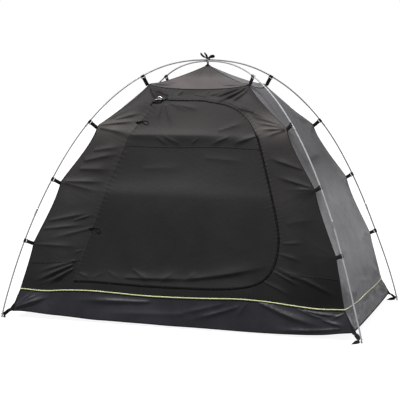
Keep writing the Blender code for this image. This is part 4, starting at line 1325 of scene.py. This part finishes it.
def makeSlider():
    place = wallMatrix(*sliderLook["at"], sliderLook["proud"])
    outward = (0, 0, 1)
    long = sliderLook["long"] / 2
    body, cord = Sewing(), Sewing()
    stations = np.linspace(-long, long, 13)
    waist = [0.72 + 0.28 * abs(math.sin(1.9 * s / long)) for s in stations]
    waist[0] = waist[-1] = 0.55
    body.placed(place, [(s, 0, 0) for s in stations], outward, sliderLook["body"], widths=waist)
    body.placed(place, bend(sliderLook["bridge"], 0.0009), (0, 1, 0), sliderLook["bridgeBand"])
    for finish, half, points in sliderLook["pulls"]:
        line = bend(points, 0.0022)
        run = np.linspace(0, 1, len(line))
        widths = 0.50 + 0.5 * smoothStep(0.0, 0.35, run) - 0.25 * smoothStep(0.86, 1.0, run)
        body.placed(place, line, outward, oval(half, 0.0010), widths=widths, finish=finish)
        eye = [line[2] + (x, y, 0.0012) for x, y in oval(sliderLook["eye"], sliderLook["eye"], 20)]
        body.placed(place, eye, outward, sliderLook["wire"], loop=True)
    slider = body.make("doubleSlider", ["slider", "pull"], None, "slider_metal", ["zip_slider"])
    for radius, points in sliderLook["cord"]:
        cord.placed(place, bend(points, 0.002), outward, oval(radius, radius * 0.8, 8))
    return [slider, cord.make("sliderCord", ["webbing"], None, "black_webbing")]


# Poles: fibreglass sections with a metal sleeve at each joint and a tip in the ring at each foot
poleLook = {
    "rod": oval(0.0051, 0.0051, 14), "gap": 0.0006, "crownDrop": 0.005, "foot": 0.0015,
    "sleeves": (0.71, 1.309), "sleeve": oval(0.0062, 0.0062, 14), "sleeveLong": 0.058, "tip": oval(0.0052, 0.0052, 12),
    "tipLong": 0.026, "sleeveWaist": (0.86, 1, 1, 0.97, 1, 0.97, 1, 1, 0.86),
    "tipWaist": (0.62, 0.92, 1, 1, 1, 1, 0.98, 0.9),
}


def poleLine(corner, lift):
    last = tent["clipHeights"][-1]
    half = [poleFrame(z)[0] for z in np.concatenate(([poleLook["foot"]], np.linspace(0.02, last, 150)))]
    up, (reach, height) = poleFrame(last)[1], half[-1]
    for t in np.linspace(0, 1, 40)[1:]:  # over the crown, from the last clip
        first, slope, crown = 2 * t**3 - 3 * t**2 + 1, t**3 - 2 * t**2 + t, 3 * t**2 - 2 * t**3
        z = first * height + slope * reach * up.y / abs(up.x) + crown * (tent["crown"] - poleLook["crownDrop"])
        half.append(Vector((reach * (1 - t), z)))

    def leg(name):
        out = planDirection(name)
        rises = [p.y + lift * max(0.0, 1 - (p.x / reach) ** 2) for p in half]
        return [tuple(out * (p.x + legShift(name, p.y)) + Vector((0, 0, z))) for p, z in zip(half, rises)]
    return evenly(leg(corner) + leg(opposite[corner])[-2::-1], 0.012)


def makePoles():
    for name, corner, lift in (("upperPole", "front_left", 2 * tent["poleRadius"] + poleLook["gap"]),
                               ("lowerPole", "front_right", 0.0)):
        line = poleLine(corner, lift)
        level = np.cross(np.array(planDirection(corner)), (0, 0, 1.0))
        Sewing().strip(line, level, poleLook["rod"]).make(
            name, ["rod"], "tent", "fibreglass_rod", [f"pole_{corner}_to_{opposite[corner]}"])
        sleeves, tips = Sewing(), Sewing()
        run, half = runOf(line), poleLook["sleeveLong"] / 2
        for i, (before, after) in enumerate(zip(line, line[1:]), start=1):
            if any((before[2] - z) * (after[2] - z) <= 0 for z in poleLook["sleeves"]):
                at = np.linspace(run[i] - half, run[i] + half, 9)
                sleeves.strip(pointsAt(line, at), level, poleLook["sleeve"], widths=poleLook["sleeveWaist"])
        at = np.linspace(0, poleLook["tipLong"], 8)
        for ends in (at, run[-1] - at):
            tips.strip(pointsAt(line, ends), level, poleLook["tip"], widths=poleLook["tipWaist"])
        sleeves.make(name + "Sleeves", ["ferrule"], "tent", "fibreglass_rod")
        tips.make(name + "Tips", ["ferrule"], "tent", "fibreglass_rod")


# Clips: a moulded hook on the pole, with a slot for the webbing that is folded through it
clipLook = {
    "ring": 0.0072, "hook": flat(0.027, 0.0042), "mouth": 46, "frame": flat(0.0036, 0.0034),
    "barIn": 0.0092, "barOut": 0.0172, "barHalf": 0.0146, "ease": 0.003,
    "web": flat(0.0245, 0.0014), "foldHalf": 0.0022,
    # the webbing's fold round the slot's far bar: how far past the bar, and its height in half folds
    "fold": ((0.010, -1), (0.002, -0.95), (-0.0018, -0.6), (-0.0028, 0), (-0.0018, 0.6), (0.002, 0.95), (0.010, 1)),
}


def makeClips():
    ease, half = clipLook["ease"], clipLook["barHalf"] - clipLook["ease"]
    near, far = clipLook["barIn"] + ease, clipLook["barOut"] - ease
    turns = np.radians(np.linspace(-180 + clipLook["mouth"], 180 - clipLook["mouth"], 22))
    out = [(math.cos(a), math.sin(a), 0) for a in turns]
    slot = []
    for x, z, start in ((far, half, 0), (near, half, 90), (near, -half, 180), (far, -half, 270)):
        for a in np.radians(start + np.linspace(0, 90, 5)):
            slot.append((x + ease * math.cos(a), 0, z + ease * math.sin(a)))
    bar, thick = clipLook["barOut"] - 0.0002, clipLook["foldHalf"]
    for corner in corners:
        for number, height in enumerate(tent["clipHeights"], start=1):
            place = poleMatrix(corner, height)
            reach = seatOnSeam(height)[0] + legShift(corner, height)
            hook = Sewing()
            hook.placed(place, np.array(out) * clipLook["ring"], out, clipLook["hook"])
            hook.placed(place, slot, (0, 1, 0), clipLook["frame"], loop=True)
            hook.make(f"clipHook_{corner}_{number}", ["plastic"], "tent", "black_plastic", [f"clip_{corner}_{number}"])
            web = [(reach - 0.006, -thick, 0), *((bar + x, thick * y, 0) for x, y in clipLook["fold"]),
                   (reach - 0.008, thick * 0.7, 0), (reach + 0.003, 0.0004, 0)]
            web = bend(web, 0.0018)
            side = np.cross(np.gradient(web, axis=0), (0, 0, 1.0))
            Sewing().placed(place, web, side / np.linalg.norm(side, axis=1)[:, None], clipLook["web"]).make(
                f"clipWebbing_{corner}_{number}", ["webbing"], "tent", "black_webbing")


# Corner straps: webbing from the bathtub's corner to a ring round the pole's foot, with a tapered tail
strapLook = {
    "wide": 0.040, "narrow": 0.58, "thick": 0.0018, "ring": 0.0115, "wire": oval(0.0015, 0.0015, 8),
    "tail": flat(0.022, 0.0018), "twist": {"front_left": 60, "back_right": 30},
    "tails": {"front_left": (0.018, -0.008), "front_right": (-0.042, -0.050), "back_right": (-0.058, -0.014),
              "back_left": (0.040, 0.030)},
    # the strap's line from the corner to the ring and back, as how far out it is from the floor's corner
    # to the ring, how far short of that, and its height above the ring
    "line": ((0, -0.0035, 0.032), (0.35, 0, 0.023), (1, 0.021, 0.0065), (1, 0.0125, 0.0022), (1, 0.0105, -0.0002),
             (1, 0.0135, -0.002), (1, 0.022, 0.0020), (0.35, 0, 0.019)),
    # the tail's share of the way to its end, and how far it has dropped
    "tailLine": ((0, 0), (0.25, -0.0015), (0.55, -0.004)), "tailDrop": -0.0095, "ground": 0.0040,
}


def makeCornerStraps():
    for corner in corners:
        out = np.array(planDirection(corner))
        place = poleMatrix(corner, tent["footRing"])
        centre = np.array(place.translation)
        straps = Sewing()
        foot, ring = halfLength * diagonal, float(centre @ out)
        seam = cornerLine(corner)[0] + out * 0.0015
        line = [out * (blendTo(foot, ring, share) - short) + (0, 0, tent["footRing"] + rise)
                for share, short, rise in strapLook["line"]]
        line = bend([seam[11], seam[8], seam[5]] + line, 0.003)
        level = np.cross(out, (0, 0, 1.0))
        normal = np.cross(np.gradient(line, axis=0), level)
        normal /= np.linalg.norm(normal, axis=1)[:, None]
        twist = math.radians(strapLook["twist"].get(corner, 0))
        wide = strapLook["wide"] * (strapLook["narrow"] if twist else 1.0)
        straps.strip(line, normal * math.cos(twist) + level * math.sin(twist), flat(wide, strapLook["thick"]),
                     widths=0.16 + 0.84 * smoothStep(0.22, 0.50, np.linspace(0, 1, len(line))))
        dx, dy = strapLook["tails"][corner]
        away = np.array((dx, dy, 0)) / math.hypot(dx, dy)
        start = centre + away * (strapLook["ring"] + 0.001) + (0, 0, strapLook["tailDrop"])
        end = start + (dx, dy, 0.0)
        tail = [blendTo(start, end, share) + (0, 0, drop) for share, drop in strapLook["tailLine"]]
        tail = bend(tail + [np.array((*end[:2], strapLook["ground"]))], 0.003)
        run = np.linspace(0, 1, len(tail))
        widths = 0.80 + 0.20 * smoothStep(0, 0.2, run) - 0.76 * smoothStep(0.40, 1.0, run)
        lean = np.array((0.2 * away[1] + 0.1, corners[corner][1] - 0.2 * away[0], 0.25))
        straps.strip(tail, lean / np.linalg.norm(lean), strapLook["tail"], widths=widths)
        straps.make("cornerStrap_" + corner, ["webbing"], "tent", "black_webbing", ["corner_strap_" + corner])
        loop = [(x, y, 0) for x, y in oval(strapLook["ring"], strapLook["ring"], 30)]
        Sewing().placed(place, loop, (0, 0, 1), strapLook["wire"], loop=True).make(
            "footRing_" + corner, ["ferrule"], "tent", "slider_metal")


# Crown: a loop of tape on the apex, tied over the crossing poles in a half bow
crownLook = {
    "ribbon": flat(0.0125, 0.0026), "narrow": oval(0.0030, 0.0016, 8), "knot": oval(0.0030, 0.0042, 8),
    "patch": flat(0.015, 0.0018), "stub": flat(0.0190, 0.0050), "top": 1.7600, "facing": (0.30, -0.93, 0.20),
    # over the apex: how far out along each ridge, and how high
    "patchLine": ((0.001, 0.003), (0.010, 0.0005), (0.018, -0.0030)),
    "stubLine": ((0, 0, -0.010), (0, 0, 0), (0.0005, 0, 0.010), (0, 0, 0.022)),
    "loop": ((0, 0.0185), (-0.009, 0.026), (-0.0145, 0.0355), (-0.0115, 0.045), (-0.002, 0.044), (0.0115, 0.045),
             (0.0145, 0.0355), (0.009, 0.026), (0, 0.0185)),
    # over the knot: the ribbon's width along each tail and bow, and its line
    "tails": (
        ((0.25, 0.60, 1.10, 1.15, 0.75), (-0.001, -0.002, 0), (-0.014, -0.006, 0.006), (-0.028, -0.010, 0.013),
         (-0.040, -0.012, 0.024), (-0.049, -0.012, 0.037)),
        ((0.80, 1.10, 1.10, 0.85, 0.60), (-0.001, 0.000, 0.002), (-0.006, -0.004, 0.012), (-0.011, -0.006, 0.024),
         (-0.019, -0.006, 0.034), (-0.025, -0.004, 0.040)),
        ((0.55, 0.90, 1.10, 1.05, 0.80), (0.001, -0.001, 0.001), (0.012, -0.006, 0.008), (0.026, -0.009, 0.017),
         (0.038, -0.006, 0.019), (0.044, 0.000, 0.014), (0.038, 0.006, 0.010), (0.022, 0.007, 0.008),
         (0.004, 0.003, 0.002)),
        ((0.50, 0.80, 0.85, 0.75, 0.60), (0.026, -0.004, 0.012), (0.038, -0.004, 0.013), (0.050, -0.002, 0.014)),
    ),
}


def makeCrown():
    apex, top = np.array((0, 0, tent["apex"])), np.array((0, 0, crownLook["top"]))
    tie, patch = Sewing(), Sewing()
    for corner in corners:
        line = [np.array(planDirection(corner)) * out + apex + (0, 0, rise) for out, rise in crownLook["patchLine"]]
        patch.strip(evenly(line, 0.003), (0, 0, 1.0), crownLook["patch"])
    patch.make("apexPatch", ["webbing"], "tent", "black_webbing")
    stub = bend(apex + crownLook["stubLine"], 0.002)
    widths = 1 - 0.38 * smoothStep(0.2, 0.8, np.linspace(0, 1, len(stub)))
    tie.strip(stub, (0, -1.0, 0), crownLook["stub"], widths=widths)
    tie.strip(bend([apex + (x, 0, z) for x, z in crownLook["loop"]], 0.002), (0, 1.0, 0), crownLook["narrow"])
    knot = [top + (0.0065 * math.cos(a) - 0.001, 0.0045 * math.sin(a) - 0.001, 0.002 + 0.0015 * math.sin(2 * a))
            for a in rounds(24)]
    tie.strip(knot, (0, 0, 1.0), crownLook["knot"], loop=True)
    for girths, *points in crownLook["tails"]:
        line = bend(top + points, 0.0025)
        widths = np.interp(np.linspace(0, 4, len(line)), range(5), girths)
        tie.strip(line, crownLook["facing"], crownLook["ribbon"], widths=widths)
    tie.make("crownRibbons", ["webbing"], "tent", "black_webbing", ["crown_tie"])


# Toggles beside the door's sewn edge, each on its loop of ribbon
toggleLook = {
    "places": {"upper": (1.327, -0.12), "lower": (0.622, -0.42)}, "off": 0.016, "long": 0.034, "radius": 0.0058,
    "lean": 62, "facets": 14, "waist": 0.0066, "waistBand": oval(0.0012, 0.0030, 8), "cord": oval(0.0024, 0.0020, 8),
    "lasso": ((-0.010, 0.003, 0.001), (0.004, 0.004, 0), (0.018, 0.008, 0), (0.038, 0.013, 0), (0.056, 0.008, 0),
              (0.061, -0.004, 0), (0.050, -0.013, 0), (0.034, -0.011, 0.001), (0.020, -0.003, 0.002),
              (0.006, -0.003, 0), (-0.010, -0.003, 0.001)),
}


def makeToggles():
    radius, n = toggleLook["radius"], toggleLook["facets"]
    (footX, footZ), (kneeX, kneeZ) = doorLines["foot"], doorLines["knee"]
    lean = math.atan2(kneeZ - footZ, kneeX - footX) - math.radians(toggleLook["lean"])
    stations = np.linspace(-0.5, 0.5, 17)
    widths = [math.sqrt(max(0.02, 1 - (2 * abs(s)) ** 6)) * (0.80 if abs(s) < 0.07 else 1.0) for s in stations]
    faces, maps = [], []
    for i in range(len(stations) - 1):
        for j in range(n):
            k = (j + 1) % n
            faces.append((i * n + j, (i + 1) * n + j, (i + 1) * n + k, i * n + k))
            maps.append([((i + a) * 0.0025, (j + b) * 0.0026) for a, b in ((0, 0), (1, 0), (1, 1), (0, 1))])
    for row, order in ((0, -1), (len(stations) - 1, 1)):
        faces.append([row * n + j for j in range(n)][::order])
        maps.append(oval(0.005, 0.005, n)[::order])
    made = []
    for name, (z, hang) in toggleLook["places"].items():
        x = float(hingeX(z))
        place = wallMatrix(x - toggleLook["off"], z, radius + 0.0004) @ Matrix.Rotation(lean, 4, "Z")
        barrel, loops = Sewing(), Sewing()
        rows = [[(toggleLook["long"] * s, a, b) for a, b in oval(w * radius, w * radius, n)]
                for s, w in zip(stations, widths)]
        barrel.take(moved(place, np.concatenate(rows)), faces, maps)
        barrel.make(name + "Toggle", ["plastic"], "tent", "black_plastic", ["toggle_" + name])
        waist = [(0.0, a, b) for a, b in oval(toggleLook["waist"], toggleLook["waist"], 20)]
        loops.placed(place, waist, (1.0, 0, 0), toggleLook["waistBand"], loop=True)
        sewn = wallMatrix(x, z, 0.0026) @ Matrix.Rotation(hang, 4, "Z")
        loops.placed(sewn, bend(toggleLook["lasso"], 0.002), (0, 0, 1), toggleLook["cord"])
        made.append(loops.make(name + "ToggleLoop", ["webbing"], None, "black_webbing"))
    return made


doorPieces = [doorCloth, makeSeams()]
makePiping()
print("seams and piping sewn")
doorPieces += makeZip() + makeSlider()
print("zip made")
makePoles()
makeClips()
makeCornerStraps()
makeCrown()
doorPieces += makeToggles()
print("poles, clips, straps, crown and toggles made")

# Camera, where the photograph was taken from
view = {"azimuth": 17.98, "elevation": 6.014, "distance": 8.136, "target": (-0.055, 0.0, 0.7715), "roll": 0.126,
        "lens": 104.13}


def addCamera():
    azimuth, elevation = math.radians(view["azimuth"]), math.radians(view["elevation"])
    level = math.cos(elevation)
    away = Vector((math.sin(azimuth) * level, -math.cos(azimuth) * level, math.sin(elevation)))
    camera = bpy.data.objects.new("camera", bpy.data.cameras.new("camera"))
    camera.location = Vector(view["target"]) + away * view["distance"]
    turn = away.to_track_quat("Z", "Y").to_matrix() @ Matrix.Rotation(math.radians(view["roll"]), 3, "Z")
    camera.rotation_euler = turn.to_euler()
    camera.data.lens = view["lens"]
    bpy.context.scene.collection.objects.link(camera)
    bpy.context.scene.camera = camera


# A pale floor, a white room and broad soft light from above
studio = {
    "room": 1.0, "ambient": 0.20, "floorSize": 60.0, "floorColour": (0.20, 0.20, 0.20), "floorGlow": 0.92,
    "floorBounce": (0.26, 0.26, 0.26), "floorRough": 0.9,
    "lights": (
        {"name": "keyLight", "from": (-0.45, -0.46, 1.30), "strength": 3.9, "spread": 15},
        {"name": "topLight", "from": (0.55, 0.25, 1.0), "strength": 0.9, "spread": 60},
    ),
}


def addStudio():
    scene, white = bpy.context.scene, (1, 1, 1)
    scene.world = bpy.data.worlds.new("room")
    scene.view_settings.view_transform = "Standard"
    room = Nodes(scene.world)
    seen = room.fill(room.tree.nodes["Background"], {"Color": white, "Strength": studio["room"]})
    lit = room.node("ShaderNodeBackground", {}, {"Color": white, "Strength": studio["ambient"]})
    room.split(lit, seen, "World Output")
    for lamp in studio["lights"]:
        light = bpy.data.lights.new(lamp["name"], "SUN")
        light.energy, light.angle = lamp["strength"], math.radians(lamp["spread"])
        shown = bpy.data.objects.new(lamp["name"], light)
        shown.rotation_euler = Vector(lamp["from"]).to_track_quat("Z", "Y").to_euler()
        scene.collection.objects.link(shown)
    bm = bmesh.new()
    bmesh.ops.create_circle(bm, cap_ends=True, segments=96, radius=studio["floorSize"])
    mesh = bpy.data.meshes.new("studioFloor")
    bm.to_mesh(mesh)
    bm.free()
    floor = bpy.data.objects.new("studioFloor", mesh)
    scene.collection.objects.link(floor)
    paint = Paint("studioFloor")
    lit = paint.fill(paint.shader, {"Base Color": studio["floorBounce"], "Roughness": studio["floorRough"]})
    seen = paint.node("ShaderNodeBsdfPrincipled", {}, {
        "Base Color": studio["floorColour"], "Roughness": studio["floorRough"], "Emission Color": white,
        "Emission Strength": studio["floorGlow"]})
    paint.split(lit, seen, "Material Output")
    mesh.materials.append(paint.material)


addCamera()
addStudio()
for piece in doorPieces:
    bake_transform(piece)
